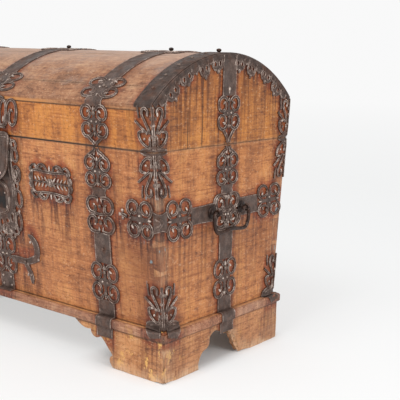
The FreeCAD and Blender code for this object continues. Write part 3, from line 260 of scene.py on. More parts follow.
def worn_board(node, body, material, cell, edge=2.0, bite=1.6, knocks=()):
    """A copy of a board with rounded, bitten edges and a hand-planed face, cut into cells.

    Its points carry how stained, near to iron and worn the wood is, and how much dirt and painted shade lie
    in its joints.
    """
    cell = cell
    shape = bmesh.new()
    shape.from_mesh(nodes[node].data)
    bmesh.ops.remove_doubles(shape, verts=shape.verts, dist=weld)
    # Strips that meet in a mitre become one closed ring.
    shape.normal_update()
    slack = 0.1
    mitres = [f for f in shape.faces if node == "plinth_mouldings" and abs(f.normal.z) < slack
              and abs(abs(f.normal.x) - abs(f.normal.y)) < slack]
    bmesh.ops.delete(shape, geom=mitres, context="FACES")
    bmesh.ops.dissolve_limit(shape, angle_limit=math.radians(2), verts=shape.verts, edges=shape.edges)
    rim = shape.verts.layers.float.new("rim")
    others = surface_of([name for name in wooden if name != node])

    def dovetailed(e):
        middle = (e.verts[0].co + e.verts[1].co) / 2
        at_corner = abs(middle.x) > half_length / 1000 - corner_rim
        return "board" in node and at_corner and others.find_nearest(middle, fit)[0] is not None

    sharp = [e for e in shape.edges if e.is_manifold and e.calc_face_angle() > math.radians(40)
             and not dovetailed(e)]
    made = bmesh.ops.bevel(shape, geom=sharp, offset=edge / 1000, segments=2, profile=0.6, affect="EDGES",
                           clamp_overlap=True)
    rounded = set(made["faces"])
    for v in made["verts"]:
        v[rim] = 1.0 if all(face in rounded for face in v.link_faces) else 0.0
    lo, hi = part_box(node)
    for axis in range(3):
        across = hi[axis] - lo[axis]
        count = int(across * 1000 / cell)
        normal = Vector((0, 0, 0))
        normal[axis] = 1
        cuts = [across * step / count for step in range(1, count)]
        if across > 0.04:
            cuts += [(edge + 4) / 1000, across - (edge + 4) / 1000]
        for cut in cuts:
            place = lo.copy()
            place[axis] += cut
            bmesh.ops.bisect_plane(shape, geom=shape.verts[:] + shape.edges[:] + shape.faces[:],
                                   plane_co=place, plane_no=normal, dist=weld)
    bmesh.ops.triangulate(shape, faces=[f for f in shape.faces if len(f.verts) > 4])
    shape.normal_update()
    marks = {"stain": [], "close": [], "wear": [], "grime": []}
    for v in shape.verts:
        at_edge = max(v[rim], 0.45 if max([e.calc_face_angle(0) for e in v.link_edges] + [0]) > 0.2 else 0.0)
        rough = noise.noise(v.co * 28) * 0.5 + 0.5
        dent = max(0.0, noise.noise(v.co * 11 + Vector((3, 1, 2))) - 0.35)
        # Where a rounded edge meets another board, its joint gets dirt and painted shade.
        joint = 0.0
        if at_edge > 0.02 and others.find_nearest(v.co, joint_gap)[0] is not None:
            open_joint = v.co.z > seam / 1000 - seam_rim or abs(v.co.x) < half_length / 1000 - corner_rim
            joint = at_edge if open_joint else at_edge * 0.2
            joint = joint if at_edge > 0.5 else joint * 0.4
        near = iron_near.find_nearest(v.co)[3]
        below = max(math.exp(-iron_near.find_nearest(v.co + Vector((0, 0, reach)))[3] / drip_wide)
                    * (1 - reach / drip_long) for reach in drips)
        corner = math.hypot(abs(v.co.x) - half_length / 1000, abs(v.co.y) - half_depth(v.co.z * 1000) / 1000)
        edge_worn = at_edge * (0.35 + 0.65 * rough) * (1.0 - joint)
        worn = max(edge_worn, 1.2 * math.exp(-corner / worn_corner) * rough)
        worn = max(worn, 2.0 * math.exp(-v.co.z / worn_floor) * (noise.noise(v.co * 40) * 0.6 + 0.55))
        for place, radius, depth in knocks:
            gap = (v.co - Vector(place)).length / radius
            if gap < 1.0:
                hit = (1 - gap) * (0.7 + 0.6 * noise.noise(v.co * 90))
                v.co -= v.normal * hit * depth
                worn = max(worn, min(1.0, 1.4 * hit))
        cut = at_edge * (1 - joint) * bite * rough * rough + 1.2 * max(0.0, joint - 0.3)
        v.co -= v.normal * (0.35 * rough + cut + 0.8 * dent) / 1000
        marks["stain"].append(below)
        marks["close"].append(math.exp(-(near / near_iron) ** 2))
        marks["wear"].append(worn)
        marks["grime"].append(joint)
    mesh = bpy.data.meshes.new("worn_" + node)
    shape.verts.layers.float.remove(rim)
    shape.to_mesh(mesh)
    shape.free()
    for mark, values in marks.items():
        mesh.attributes.new(mark, "FLOAT", "POINT").data.foreach_set("value", values)
    mesh.materials.append(material)
    finish_faces(mesh)
    piece = bpy.data.objects.new("worn_" + node, mesh)
    bpy.context.scene.collection.objects.link(piece)
    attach(piece, body)
    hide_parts(node)


# Oil gives the planks a red brown, in which dark runs below the iron and black seams of dirt and painted
# shade stand out.
case_oak = oak("oiled_oak_along", "#8f532b", "#c98350", "#e4a568", False, glow=0.15, runs=1.0,
               seams=((seam, 4.0, 1.0), (plinth_top, 5.0, 0.7)), soil=1.0)
end_oak = oak("oiled_oak_across", "#8c522b", "#c47f4b", "#dfa164", True, glow=0.25,
              seams=((seam, 2.2, 0.5), (plinth_top, 5.0, 0.7)))
for node in ("front_board", "back_board"):
    worn_board(node, "case", case_oak, cell=9.0)
for node in ("right_end_board", "left_end_board"):
    worn_board(node, "case", end_oak, cell=9.0)

# Lid boards. Two rails, two arched ends and five coopered staves, in the same oak.
# The top of the vault has lost its oil and gone grey, with pale rubbed edges, and a painted sheen lightens it
# near the ridge.
board_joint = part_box("stave_1")[0].z * 1000
# Dry wood glows golden under the eaves, and two checks run up each arch.
rail_oak = oak("golden_oak_along", "#8f5226", "#c87d3e", "#e5a356", False, glow=0.8,
               seams=((seam, 3.4, 1.0), (board_joint, 3.0, 0.8)))
arch_oak = oak("golden_oak_across", "#7f4a28", "#c27d40", "#e6a658", True, glow=0.8, runs=0.8,
               seams=((seam, 2.2, 0.5),), cracks=((-108, 618, 784), (-165, 612, 695)))
# Without oil the vault turns pale and dull, and only its lowest strip keeps the gold.
dome_oak = oak("greyed_oak_staves", "#764d33", "#a87552", "#c59873", False, grey_and_top_sheen=0.8, stains=1.2,
               seams=((board_joint, 3.0, 0.8),), gold=board_joint + 8)
for node in ("lid_front_rail", "lid_back_rail"):
    worn_board(node, "lid", rail_oak, cell=9.0)
for node in ("lid_right_arch", "lid_left_arch"):
    worn_board(node, "lid", arch_oak, cell=9.0)
for number in range(1, 6):
    worn_board("stave_%d" % number, "lid", dome_oak, edge=2.5, cell=20.0)

# Plinth. Four thick oak boards mitred at the corners and sawn to bracket feet, with a half-round
# moulding along the top. The feet are knocked and pale at their lower edges.
corner_out, corner_deep = (half_length + plinth_out) / 1000, (foot_half_depth + plinth_out) / 1000
# A knock is a place, a radius and a depth, in metres.
knocked_foot = [((corner_out, -corner_deep, 0.0), 0.05, 0.006),
                ((corner_out - 0.2, -corner_deep, 0.0), 0.03, 0.005),
                ((corner_out, -corner_deep, 0.09), 0.022, 0.004)]
broken_foot = [((corner_out, 0.035, 0.05), 0.04, 0.012), ((corner_out, 0.04, 0.02), 0.045, 0.012),
               ((corner_out, 0.08, 0.0), 0.05, 0.01)]
nose_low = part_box("plinth_mouldings")[0].z * 1000
# Chips show fresh yellow wood in the brown feet, and dirt dulls the moulding, under whose nose runs a dark
# line of dirt and painted shadow.
foot_oak = oak("chipped_oak_along", "#8d5730", "#ca8a56", "#e0a874", False, glow=0.15, chips=0.9,
               seams=((nose_low, 6.0, 0.8),))
foot_end_oak = oak("chipped_oak_across", "#865132", "#c18354", "#d9a06c", True, chips=0.55,
                   seams=((nose_low, 6.0, 0.8),))
moulding_oak = oak("dirty_oak_moulding", "#6f4a35", "#ae7656", "#cd9e7c", False, grey_and_top_sheen=0.3, chips=0.2,
                   stains=2.0)
for node in ("plinth_front", "plinth_back"):
    worn_board(node, "case", foot_oak, edge=3.5, bite=3.5, cell=12.0, knocks=knocked_foot)
for node in ("plinth_right_end", "plinth_left_end"):
    worn_board(node, "case", foot_end_oak, edge=3.5, bite=3.5, cell=12.0,
               knocks=knocked_foot + broken_foot)
worn_board("plinth_mouldings", "case", moulding_oak, edge=3.0, bite=2.0, cell=20.0,
           knocks=[((corner_out + 0.006, -corner_deep - 0.006, (plinth_top - 6) / 1000), 0.034, 0.014)])

# Inside. Sawn softwood planks on ledgers, with glue blocks in the corners of the plinth.
# The wood is bare and dusty, with plain straight grain.
def dress(material, *names):
    """Gives nodes of the frame a material as they are."""
    for name in names:
        nodes[name].data.materials.clear()
        nodes[name].data.materials.append(material)


# Bare wood is lighter and duller than the oiled oak outside.
inside_pine = oak("sawn_pine", "#8e6b49", "#b08a5e", "#c9a474", True, grey_and_top_sheen=0.6, stains=0.2)
dress(inside_pine, "bottom_planks", "bottom_ledgers", "corner_blocks")


# Front straps. Forged bars with two raised rims, which end in pierced four-lobed scroll work.
# Smithed hot, filed and chased, once tinned, now dark brown with the high places rubbed pale, their paleness
# partly a painted highlight.
def iron_finish(name, groove, flat, rim, metallic=0.4, rough=0.48, rust=1.0):
    """Old forged iron: dark in its hollows, rubbed pale on its rims, where the pale is partly a painted
    highlight.
    """
    material = bpy.data.materials.new(name)
    material.use_nodes = True
    tree = material.node_tree
    shader = tree.nodes["Principled BSDF"]
    where = add(tree, "ShaderNodeTexCoord").outputs["Object"]
    values = {"relief": add(tree, "ShaderNodeAttribute", {"attribute_name": "relief"}).outputs["Fac"],
              "patch": cloud(tree, where, 30.0, detail=4.0, rough=0.6),
              "fine": cloud(tree, where, 260.0, detail=3.0, rough=0.6, shift=(3, 3, 3)),
              "rubbed": cloud(tree, where, 55.0, detail=2.0, rough=0.5, shift=(5, 2, 8))}
    worked(tree, values, (("rubbed", "RANGE", "rubbed", 0.38, 0.62, 0.6, 1.1),
                          ("worn", "MULTIPLY", "relief", "rubbed"),
                          ("dust", "RANGE", "fine", 0.3, 0.6, 0.5, 1.05),
                          ("worn", "MULTIPLY", "worn", "dust")))
    colours = add(tree, "ShaderNodeValToRGB", {}, {0: values["worn"]})
    stops = colours.color_ramp.elements
    stops[0].position, stops[0].color = 0.05, srgb(groove)
    stops[1].position, stops[1].color = 0.95, srgb(rim)
    stops.new(0.42).color = srgb(flat)
    values["colour"] = colours.outputs[0]
    worked(tree, values, (("rust", "RANGE", "patch", 0.5, 0.75, 0.0, 0.55 * rust),
                          ("colour", "MIX", "rust", "colour", "#6f452f"),
                          ("gloss", "RANGE", "patch", 0.3, 0.7, rough - 0.1, rough + 0.15),
                          ("height", "SUM", "fine", "patch")))
    tree.links.new(values["colour"], shader.inputs["Base Color"])
    shader.inputs["Metallic"].default_value = metallic
    tree.links.new(values["gloss"], shader.inputs["Roughness"])
    bump = add(tree, "ShaderNodeBump", {}, {"Height": values["height"], "Distance": 0.0012, "Strength": 0.5})
    tree.links.new(bump.outputs[0], shader.inputs["Normal"])
    return material


# A brown patina keeps the hollows nearly black, and the rubbed rims are painted pale, partly as a painted
# highlight.
strap_iron = iron_finish("forged_iron_dark_patina", "#33251f", "#78645b", "#e6d5c8")


def geometry_tree(name, sizes):
    """A tree with a geometry in, a geometry out and a number for each size named."""
    tree = bpy.data.node_groups.new(name, "GeometryNodeTree")
    tree.interface.new_socket("Geometry", in_out="INPUT", socket_type="NodeSocketGeometry")
    for size in sizes:
        tree.interface.new_socket(size, in_out="INPUT", socket_type="NodeSocketFloat")
    tree.interface.new_socket("Geometry", in_out="OUTPUT", socket_type="NodeSocketGeometry")
    return tree, add(tree, "NodeGroupInput")


def close_tree(tree, geometry, material):
    """Ends a tree in realized instances and its material."""
    real = add(tree, "GeometryNodeRealizeInstances", {}, {0: geometry})
    dressed = add(tree, "GeometryNodeSetMaterial", {}, {0: real.outputs[0], "Material": material})
    add(tree, "NodeGroupOutput", {}, {0: dressed.outputs[0]})


def with_relief(tree, geometry, value):
    """Keeps on each point how far it stands out; the iron's colour follows it, pale on high places for rubbed
    wear and a painted highlight.
    """
    return add(tree, "GeometryNodeStoreNamedAttribute", {"data_type": "FLOAT", "domain": "POINT"},
               {0: geometry, "Name": "relief", "Value": value}).outputs[0]


band_tree, band_in = geometry_tree("band_with_raised_rims", ["Width", "Rim", "Height", "Web", "Shine"])
ring = add(band_tree, "GeometryNodeMeshLine", {}, {"Count": 10})
values = dict(band_in.outputs.items(), place=add(band_tree, "GeometryNodeInputIndex").outputs[0])
worked(band_tree, values, (("back", "SUBTRACT", 9.0, "place"), ("near_end", "MINIMUM", "place", "back"),
                           ("side", "SUBTRACT", "place", 4.5), ("side", "SIGN", "side"),
                           ("half_width", "MULTIPLY", "Width", 0.5)))
# From an edge of the bar to its middle: how far in a corner lies, how far out, and how bright it is.
for value, shares, whole in (("inset", (0.0, 0.1, 0.5, 0.9, 1.05), "Rim"),
                             ("rise", (0.0, 0.78, 1.0, 0.8, 0.0), "Height"),
                             ("web", (0.0, 0.0, 0.0, 0.0, 1.0), "Web"),
                             ("shine", (0.1, 0.7, 1.0, 0.7, 0.45), "Shine")):
    pick = add(band_tree, "GeometryNodeIndexSwitch", {"data_type": "FLOAT"}, {0: values["near_end"]})
    for _ in shares[2:]:
        pick.index_switch_items.new()
    for k, share in enumerate(shares):
        pick.inputs[k + 1].default_value = share
    worked(band_tree, values, [(value, "MULTIPLY", pick.outputs[0], whole)])
worked(band_tree, values, (("across", "SUBTRACT", "half_width", "inset"),
                           ("across", "MULTIPLY", "side", "across"),
                           ("rise", "ADD", "rise", "web"), ("down", "MULTIPLY", "rise", -1.0)))
spot = add(band_tree, "ShaderNodeCombineXYZ", {}, {0: values["across"], 1: values["down"]})
bent = add(band_tree, "GeometryNodeSetPosition", {}, {0: ring.outputs[0], "Position": spot.outputs[0]})
shaded = with_relief(band_tree, bent.outputs[0], values["shine"])
profile = add(band_tree, "GeometryNodeMeshToCurve", {}, {0: shaded})
closed = add(band_tree, "GeometryNodeSetSplineCyclic", {}, {0: profile.outputs[0], "Cyclic": True})
upright = add(band_tree, "GeometryNodeSetCurveNormal", {"mode": "Z_UP"}, {0: band_in.outputs[0]})
taper = add(band_tree, "GeometryNodeInputRadius").outputs[0]
sweep = add(band_tree, "GeometryNodeCurveToMesh", {}, {
    "Curve": upright.outputs[0], "Profile Curve": closed.outputs[0], "Scale": taper, "Fill Caps": True})
close_tree(band_tree, sweep.outputs[0], strap_iron)

boss_tree, boss_in = geometry_tree("bosses_on_points", ["Taper"])
ball = add(boss_tree, "GeometryNodeMeshUVSphere", {}, {"Segments": 10, "Rings": 6, "Radius": 1.0})
at = add(boss_tree, "GeometryNodeInputPosition").outputs[0]
values = dict(zip("xyz", add(boss_tree, "ShaderNodeSeparateXYZ", {}, {0: at}).outputs),
              Taper=boss_in.outputs["Taper"])
# A drop grows slimmer towards its tip.
worked(boss_tree, values, (("tip", "MULTIPLY", "x", 0.5), ("tip", "ADD", "tip", 0.5),
                           ("tip", "MULTIPLY", "Taper", "tip"), ("left", "SUBTRACT", 1.0, "tip"),
                           ("y", "MULTIPLY", "y", "left"), ("z", "MULTIPLY", "z", "left")))
slim = add(boss_tree, "ShaderNodeCombineXYZ", {}, {k: values[name] for k, name in enumerate("xyz")})
shaped = add(boss_tree, "GeometryNodeSetPosition", {}, {0: ball.outputs[0], "Position": slim.outputs[0]})
turned_by = add(boss_tree, "GeometryNodeInputNamedAttribute", {"data_type": "FLOAT"},
                {"Name": "turn"}).outputs[0]
sized = add(boss_tree, "GeometryNodeInputNamedAttribute", {"data_type": "FLOAT_VECTOR"},
            {"Name": "size"}).outputs[0]
spin = add(boss_tree, "ShaderNodeCombineXYZ", {}, {2: turned_by})
bosses = add(boss_tree, "GeometryNodeInstanceOnPoints", {}, {
    "Points": boss_in.outputs[0], "Instance": with_relief(boss_tree, shaped.outputs[0], 0.85),
    "Rotation": spin.outputs[0], "Scale": sized})
close_tree(boss_tree, bosses.outputs[0], strap_iron)


def grown(data, tree, sizes):
    """The mesh that a tree makes of a curve or of points: its corners, its faces and their relief."""
    carrier = bpy.data.objects.new("carrier", data)
    bpy.context.scene.collection.objects.link(carrier)
    modifier = carrier.modifiers.new("forging", "NODES")
    modifier.node_group = tree
    for item in tree.interface.items_tree:
        if item.item_type == "SOCKET" and item.in_out == "INPUT" and item.name in sizes:
            modifier[item.identifier] = float(sizes[item.name])
    carrier.update_tag()
    graph = bpy.context.evaluated_depsgraph_get()
    mesh = bpy.data.meshes.new_from_object(carrier.evaluated_get(graph))
    corners = np.empty(len(mesh.vertices) * 3)
    mesh.vertices.foreach_get("co", corners)
    relief = np.zeros(len(mesh.vertices))
    mesh.attributes["relief"].data.foreach_get("value", relief)
    faces = [tuple(face.vertices) for face in mesh.polygons]
    carrier.modifiers.remove(modifier)
    bpy.data.objects.remove(carrier)
    bpy.data.meshes.remove(mesh)
    return corners.reshape(-1, 3), faces, relief


def stroke(curve, line, shut):
    """Adds a line of points, each with a width, to a curve."""
    spline = curve.splines.new("POLY")
    spline.points.add(len(line) - 1)
    spline.use_cyclic_u = bool(shut)
    for target, (x, y, z, width) in zip(spline.points, line):
        target.co = (x, y, z, 1.0)
        target.radius = width


def smoothed(rows, before, after, parts):
    """A smooth line through rows, without its last point. It comes from before and goes on to after."""
    ends = np.vstack([before, rows, after])
    fine = []
    for k in range(1, len(ends) - 2):
        a, b, c, d = ends[k - 1:k + 3]
        for t in np.linspace(0, 1, parts, endpoint=False):
            fine.append(0.5 * (2 * b + (c - a) * t + (2 * a - 5 * b + 4 * c - d) * t ** 2
                               + (3 * b - a - 3 * c + d) * t ** 3))
    return fine


def flowing(points, step):
    """A smooth line through the points, with a point every step. Its third value is a width."""
    rows = np.array([tuple(p) + (1.0,) * (3 - len(p)) for p in points], float)
    if len(rows) > 2:
        shut = np.allclose(rows[0, :2], rows[-1, :2])
        before = rows[-2] if shut else 2 * rows[0] - rows[1]
        after = rows[1] if shut else 2 * rows[-1] - rows[-2]
        rows = np.vstack([smoothed(rows, before, after, 12), rows[-1:]])
    gone = np.concatenate([[0], np.cumsum(np.linalg.norm(np.diff(rows[:, :2], axis=0), axis=1))])
    stops = np.linspace(0, gone[-1], max(2, int(gone[-1] / step) + 1))
    return np.stack([np.interp(stops, gone, rows[:, k]) for k in range(3)], 1)


def bar(width, *points):
    return ("bar", [list(points)], width)


def scroll(*points, width=9.5):
    return ("scroll", [list(points)], width)


def vein(*points, width=4.0):
    return ("vein", [list(points)], width)


def chase(*points, width=4.0):
    """A low line cut with a chisel."""
    return ("chase", [list(points)], width)


def hoop(x, y, rx, ry, width=7.5):
    """A closed loop."""
    turns = np.linspace(0, 2 * math.pi, 13)
    return ("scroll", [[(x + rx * math.cos(a), y + ry * math.sin(a)) for a in turns]], width)


def drop(x, y, tip_x, tip_y, width):
    return ("drop", [[(x, y), (tip_x, tip_y)]], width)


def stud(x, y, width):
    return ("stud", [[(x, y)]], width)


thin_sheet, lock_sheet, leaf_sheet, keyhole_sheet = 1.9, 2.1, 2.3, 2.6


def plate(*points):
    return ("plate", [list(points)], thin_sheet)


def placed(items, dx=0.0, dy=0.0, kx=1.0, ky=1.0, swap=False):
    """The same work moved, stretched, mirrored or turned on its side."""
    out = []
    for kind, loops, size in items:
        moved = []
        for points in loops:
            flipped = [(p[1], p[0]) + tuple(p[2:]) for p in points] if swap else points
            moved.append([(dx + kx * p[0], dy + ky * p[1]) + tuple(p[2:]) for p in flipped])
        out.append((kind, moved, size))
    return out


def both_sides(items):
    """The work and its mirror image about the middle."""
    return items + placed(items, kx=-1)


def cut_sheet(loops, thick):
    """A flat plate cut to the first loop, with the other loops as openings."""
    shape = bmesh.new()
    rim_edges = []
    for points in loops:
        ring_verts = [shape.verts.new((p[0], p[1], 0)) for p in points]
        rim_edges += [shape.edges.new((a, b)) for a, b in zip(ring_verts, ring_verts[1:] + ring_verts[:1])]
    filled = bmesh.ops.triangle_fill(shape, use_beauty=True, use_dissolve=False, edges=rim_edges,
                                     normal=(0, 0, 1))
    faces = [f for f in filled["geom"] if isinstance(f, bmesh.types.BMFace)]
    raised = bmesh.ops.extrude_face_region(shape, geom=faces, use_keep_orig=True)
    for v in raised["geom"]:
        if isinstance(v, bmesh.types.BMVert):
            v.co.z = thick
    bmesh.ops.recalc_face_normals(shape, faces=shape.faces)
    shape.verts.index_update()
    corners = np.array([v.co[:] for v in shape.verts])
    faces = [tuple(v.index for v in f.verts) for f in shape.faces]
    shape.free()
    return corners, faces, np.full(len(corners), 0.3)


def sheet(outline, openings, rim):
    """A plate with a raised rim round its edge and its openings. All are smooth closed lines."""
    rings = [list(points) + [points[0]] for points in (outline, *openings)]
    loops = [[tuple(p) for p in flowing(points, 4.0)[:-1, :2]] for points in rings]
    rims = [("vein", [points], rim) for points in rings]
    return [("plate", loops, lock_sheet)] + rims


def oval(x, y, rx, ry):
    turns = np.linspace(0, 2 * math.pi, 10, endpoint=False)
    return [(x + rx * math.cos(a), y + ry * math.sin(a)) for a in turns]


# The width and height of a rim, the height of the web, the step along the line and the brightness.
band_shapes = {"bar": (3.0, 3.6, 2.3, 2.5, 0.72), "scroll": (2.8, 4.8, 2.2, 2.6, 0.8),
               "vein": (1.8, 3.6, 2.8, 2.6, 0.75), "chase": (1.6, 3.2, 2.9, 2.6, 0.45)}
# A boss has its middle at a height. A drop and a stud differ in half height and in how much they narrow.
boss_middle = 2.6
boss_shapes = {"drop": (3.2, 0.62), "stud": (2.6, 0.0)}
# Hammering leaves iron uneven: how close the dents lie, and how far they push it along, up the wall and out.
dents, push_along, push_up, push_out = 0.06, 0.8, 0.5, 0.35


def hammered(items, to_surface):
    """The solids of some iron work, made flat and then laid on a surface."""
    made = []
    widths = {}
    for kind, loops, size in items:
        if kind in band_shapes:
            widths.setdefault((kind, size), []).append(loops[0])
    for (kind, width), strokes in widths.items():
        rim, height, web, step, bright = band_shapes[kind]
        curve = bpy.data.curves.new("strokes", "CURVE")
        curve.dimensions = "3D"
        for points in strokes:
            line = flowing(points, step)
            shut = len(points) > 2 and np.allclose(points[0][:2], points[-1][:2])
            line = line[:-1] if shut else line
            stroke(curve, [(x, y, 0.0, width_there) for x, y, width_there in line], shut)
        forms = {"Width": width, "Rim": min(rim, width / 2.3), "Height": height, "Web": web, "Shine": bright}
        made.append(grown(curve, band_tree, forms))
    for kind, (half_high, narrowing) in boss_shapes.items():
        spots = [(loops[0], size) for k, loops, size in items if k == kind]
        if spots:
            cloud_mesh = bpy.data.meshes.new("spots")
            middles, turns, sizes = [], [], []
            for points, size in spots:
                (x0, y0), (x1, y1) = points[0][:2], points[-1][:2]
                middles.append(((x0 + x1) / 2, (y0 + y1) / 2, boss_middle))
                turns.append(math.atan2(y1 - y0, x1 - x0))
                length = max(size, math.hypot(x1 - x0, y1 - y0)) / 2
                sizes += [length, size / 2, half_high]
            cloud_mesh.from_pydata(middles, [], [])
            cloud_mesh.attributes.new("turn", "FLOAT", "POINT").data.foreach_set("value", turns)
            cloud_mesh.attributes.new("size", "FLOAT_VECTOR", "POINT").data.foreach_set("vector", sizes)
            made.append(grown(cloud_mesh, boss_tree, {"Taper": narrowing}))
    made += [cut_sheet(loops, thick) for kind, loops, thick in items if kind == "plate"]
    solids = []
    for corners, faces, relief in made:
        uneven = np.array([noise.noise(Vector((x * dents, y * dents, 1.7))) for x, y in corners[:, :2]])
        raised = corners[:, 2] > 1
        corners = corners + np.column_stack([uneven * push_along, np.roll(uneven, 3) * push_up,
                                             uneven * push_out * raised])
        solids.append((to_surface(corners), faces, relief))
    return solids


def joined(name, body, replaced, solids, material=None):
    """One object of some solids given in millimetres."""
    all_corners, all_faces, all_relief, start = [], [], [], 0
    for corners, faces, relief in solids:
        all_corners.append(corners / 1000)
        all_faces += [tuple(v + start for v in face) for face in faces]
        all_relief.append(relief)
        start += len(corners)
    mesh = bpy.data.meshes.new(name)
    mesh.from_pydata(np.vstack(all_corners).tolist(), [], all_faces)
    mesh.attributes.new("relief", "FLOAT", "POINT").data.foreach_set("value", np.concatenate(all_relief))
    mesh.materials.append(material or strap_iron)
    shape = bmesh.new()
    shape.from_mesh(mesh)
    bmesh.ops.triangulate(shape, faces=[f for f in shape.faces if len(f.verts) > 4])
    shape.to_mesh(mesh)
    shape.free()
    finish_faces(mesh, 55)
    piece = bpy.data.objects.new(name, mesh)
    bpy.context.scene.collection.objects.link(piece)
    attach(piece, body)
    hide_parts(*replaced)
    return piece


def forge(name, body, replaced, parts, more=()):
    """One piece of iron work, from its parts laid on their surfaces and from other solids."""
    solids = [solid for items, to_surface in parts for solid in hammered(items, to_surface)]
    return joined(name, body, replaced, solids + list(more))


class Outline:
    """A surface seen from its edge: how far out and how high it is along its run, and which way it faces."""

    def __init__(self, corners, start):
        corners = np.array(corners, float)
        gone = np.concatenate([[0], np.cumsum(np.linalg.norm(np.diff(corners, axis=0), axis=1))])
        self.run = np.arange(0, gone[-1], 1.0)
        self.path = np.stack([np.interp(self.run, gone, corners[:, k]) for k in (0, 1)], 1)
        tangent = np.gradient(self.path, axis=0)
        padded = [np.pad(tangent[:, k], 3, mode="edge") for k in (0, 1)]
        tangent = np.stack([np.convolve(column, np.ones(7) / 7, "valid") for column in padded], 1)
        tangent /= np.linalg.norm(tangent, axis=1)[:, None]
        self.face = np.stack([tangent[:, 1], -tangent[:, 0]], 1)
        self.start = start

    def at(self, v, h):
        where = v - self.start
        out, z, face_out, face_z = [np.interp(where, self.run, column) for column in
                                    (self.path[:, 0], self.path[:, 1], self.face[:, 0], self.face[:, 1])]
        return out + face_out * h, z + face_z * h


moulding_out, moulding_high, nose = 7.0, 26.0, 6.0


def moulded_foot(base):
    """The outline of the plinth and its moulding below a wall whose foot is at base."""
    face, turn = base + plinth_out, base + plinth_out + moulding_out - nose

    def rounded(z, start, stop):
        return [(turn + nose * math.cos(a), z + nose * math.sin(a)) for a in np.linspace(start, stop, 6)]

    lower = rounded(plinth_top - moulding_high + nose, -math.pi / 2, 0)
    upper = rounded(plinth_top - nose, 0, math.pi / 2)
    return [(face, 0), (face, plinth_top - moulding_high)] + lower + upper + [(base, plinth_top)]


half_angle = math.asin(eave_half_depth / dome_radius)
vault = [(dome_radius * math.sin(a), dome_middle + dome_radius * math.cos(a))
         for a in np.linspace(half_angle, 0, 60)]
side_corners = moulded_foot(foot_half_depth) + [(seam_half_depth, seam)] + vault
side_run = sum(math.dist(a, b) for a, b in zip(side_corners, side_corners[1:])
               if b[1] <= seam or b == (seam_half_depth, seam))
long_side = Outline(side_corners, seam - side_run)
end_corners = moulded_foot(half_length) + [(half_length, ridge)]
end_run = sum(math.dist(a, b) for a, b in zip(end_corners, end_corners[1:]))
short_side = Outline(end_corners, ridge - end_run)
ridge_run = long_side.start + long_side.run[-1]
eave_run = ridge_run - dome_radius * half_angle


def on_front(p):
    out, z = long_side.at(p[:, 1], p[:, 2])
    return np.column_stack([p[:, 0], -out, z])


def on_back(p):
    out, z = long_side.at(p[:, 1], p[:, 2])
    return np.column_stack([-p[:, 0], out, z])


def on_right(p):
    out, z = short_side.at(p[:, 1], p[:, 2])
    return np.column_stack([out, p[:, 0], z])


def quatrefoil(half_wide, half_high):
    """Four scrolls round a waist, with bright drops where they spring and leaves between them."""
    items = []
    for sx in (-1, 1):
        for sy in (-1, 1):
            curl = []
            for k in range(25):
                a = 158 - k * 362 / 24
                r = 20.0 if a > -60 else 20.0 + (a + 60) * 9.5 / 144
                way = math.radians(a)
                curl.append((27 + r * math.cos(way), 24 + r * math.sin(way), 1.0 - 0.3 * k / 24))
            items += placed([scroll(*curl), drop(17, 31, 28, 24, 9)], kx=sx, ky=sy)
    leaf = [(0, 0), (6, 8), (5, 20), (7, 32), (0, 45), (-7, 32), (-5, 20), (-6, 8)]
    items += [plate(*leaf), plate(*[(x, -y) for x, y in leaf])]
    items += [plate((-22, -5), (-8, -9), (8, -9), (22, -5), (26, 0), (22, 5), (8, 9), (-8, 9), (-22, 5),
                    (-26, 0))]
    items += [drop(0, 30, 0, 42, 8), drop(0, -30, 0, -42, 8), stud(-9, 0, 6), stud(9, 0, 6)]
    return placed(items, kx=half_wide / 50, ky=half_high / 49)


def open_loops():
    """Four wide scrolls that leave an opening in the middle, with drops at their ends."""
    items = []
    for sx in (-1, 1):
        for sy in (-1, 1):
            curl = [(6, 46), (20, 48), (35, 45), (45, 34), (46, 20), (38, 8), (26, 5), (17, 12),
                    (18, 24, 0.8)]
            items += placed([scroll(*curl), drop(6, 46, 8, 33, 8), drop(18, 25, 25, 30, 8)], kx=sx, ky=sy)
    return items + [scroll((-26, 5), (-8, 2), (8, 2), (26, 5), width=8), stud(-6, -8, 7), stud(6, -8, 7)]


strap_x = (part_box("front_strap_right")[0].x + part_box("front_strap_right")[1].x) * 500
strap_wide = 59.0


def case_strap():
    """The part of a strap below the seam, about its middle line."""
    items = both_sides([scroll((5, 602), (9, 594), (20, 588), (33, 578)), drop(10, 583, 4, 595, 8)])
    items += placed(quatrefoil(47, 45), 0, 540) + placed(open_loops(), 0, 423)
    items += [bar(strap_wide, (0, 497, 0.95), (0, 484, 0.8), (0, 471, 0.95)),
              bar(strap_wide, (0, 374, 0.9), (0, 362), (0, 289))]
    items += placed(quatrefoil(50, 57), 0, 235) + [bar(strap_wide, (0, 184), (0, 62))]
    return items


right_strap = forge("front_strap_right_iron", "case", ["front_strap_right"],
                    [(placed(case_strap(), strap_x), on_front)])


def mirrored(piece, name, body, replaced):
    """The same piece for the left half."""
    mesh = piece.data.copy()
    mesh.transform(Matrix.Scale(-1, 4, (1, 0, 0)))
    mesh.flip_normals()
    twin = bpy.data.objects.new(name, mesh)
    bpy.context.scene.collection.objects.link(twin)
    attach(twin, body)
    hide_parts(*replaced)


mirrored(right_strap, "front_strap_left_iron", "case", ["front_strap_left"])

# End straps. One bar down the middle of each end, forged as the front ones are.
end_y = 5.0
end_strap = forge("end_strap_right_iron", "case", ["end_strap_right"],
                  [(placed(case_strap(), end_y), on_right)])
mirrored(end_strap, "end_strap_left_iron", "case", ["end_strap_left"])


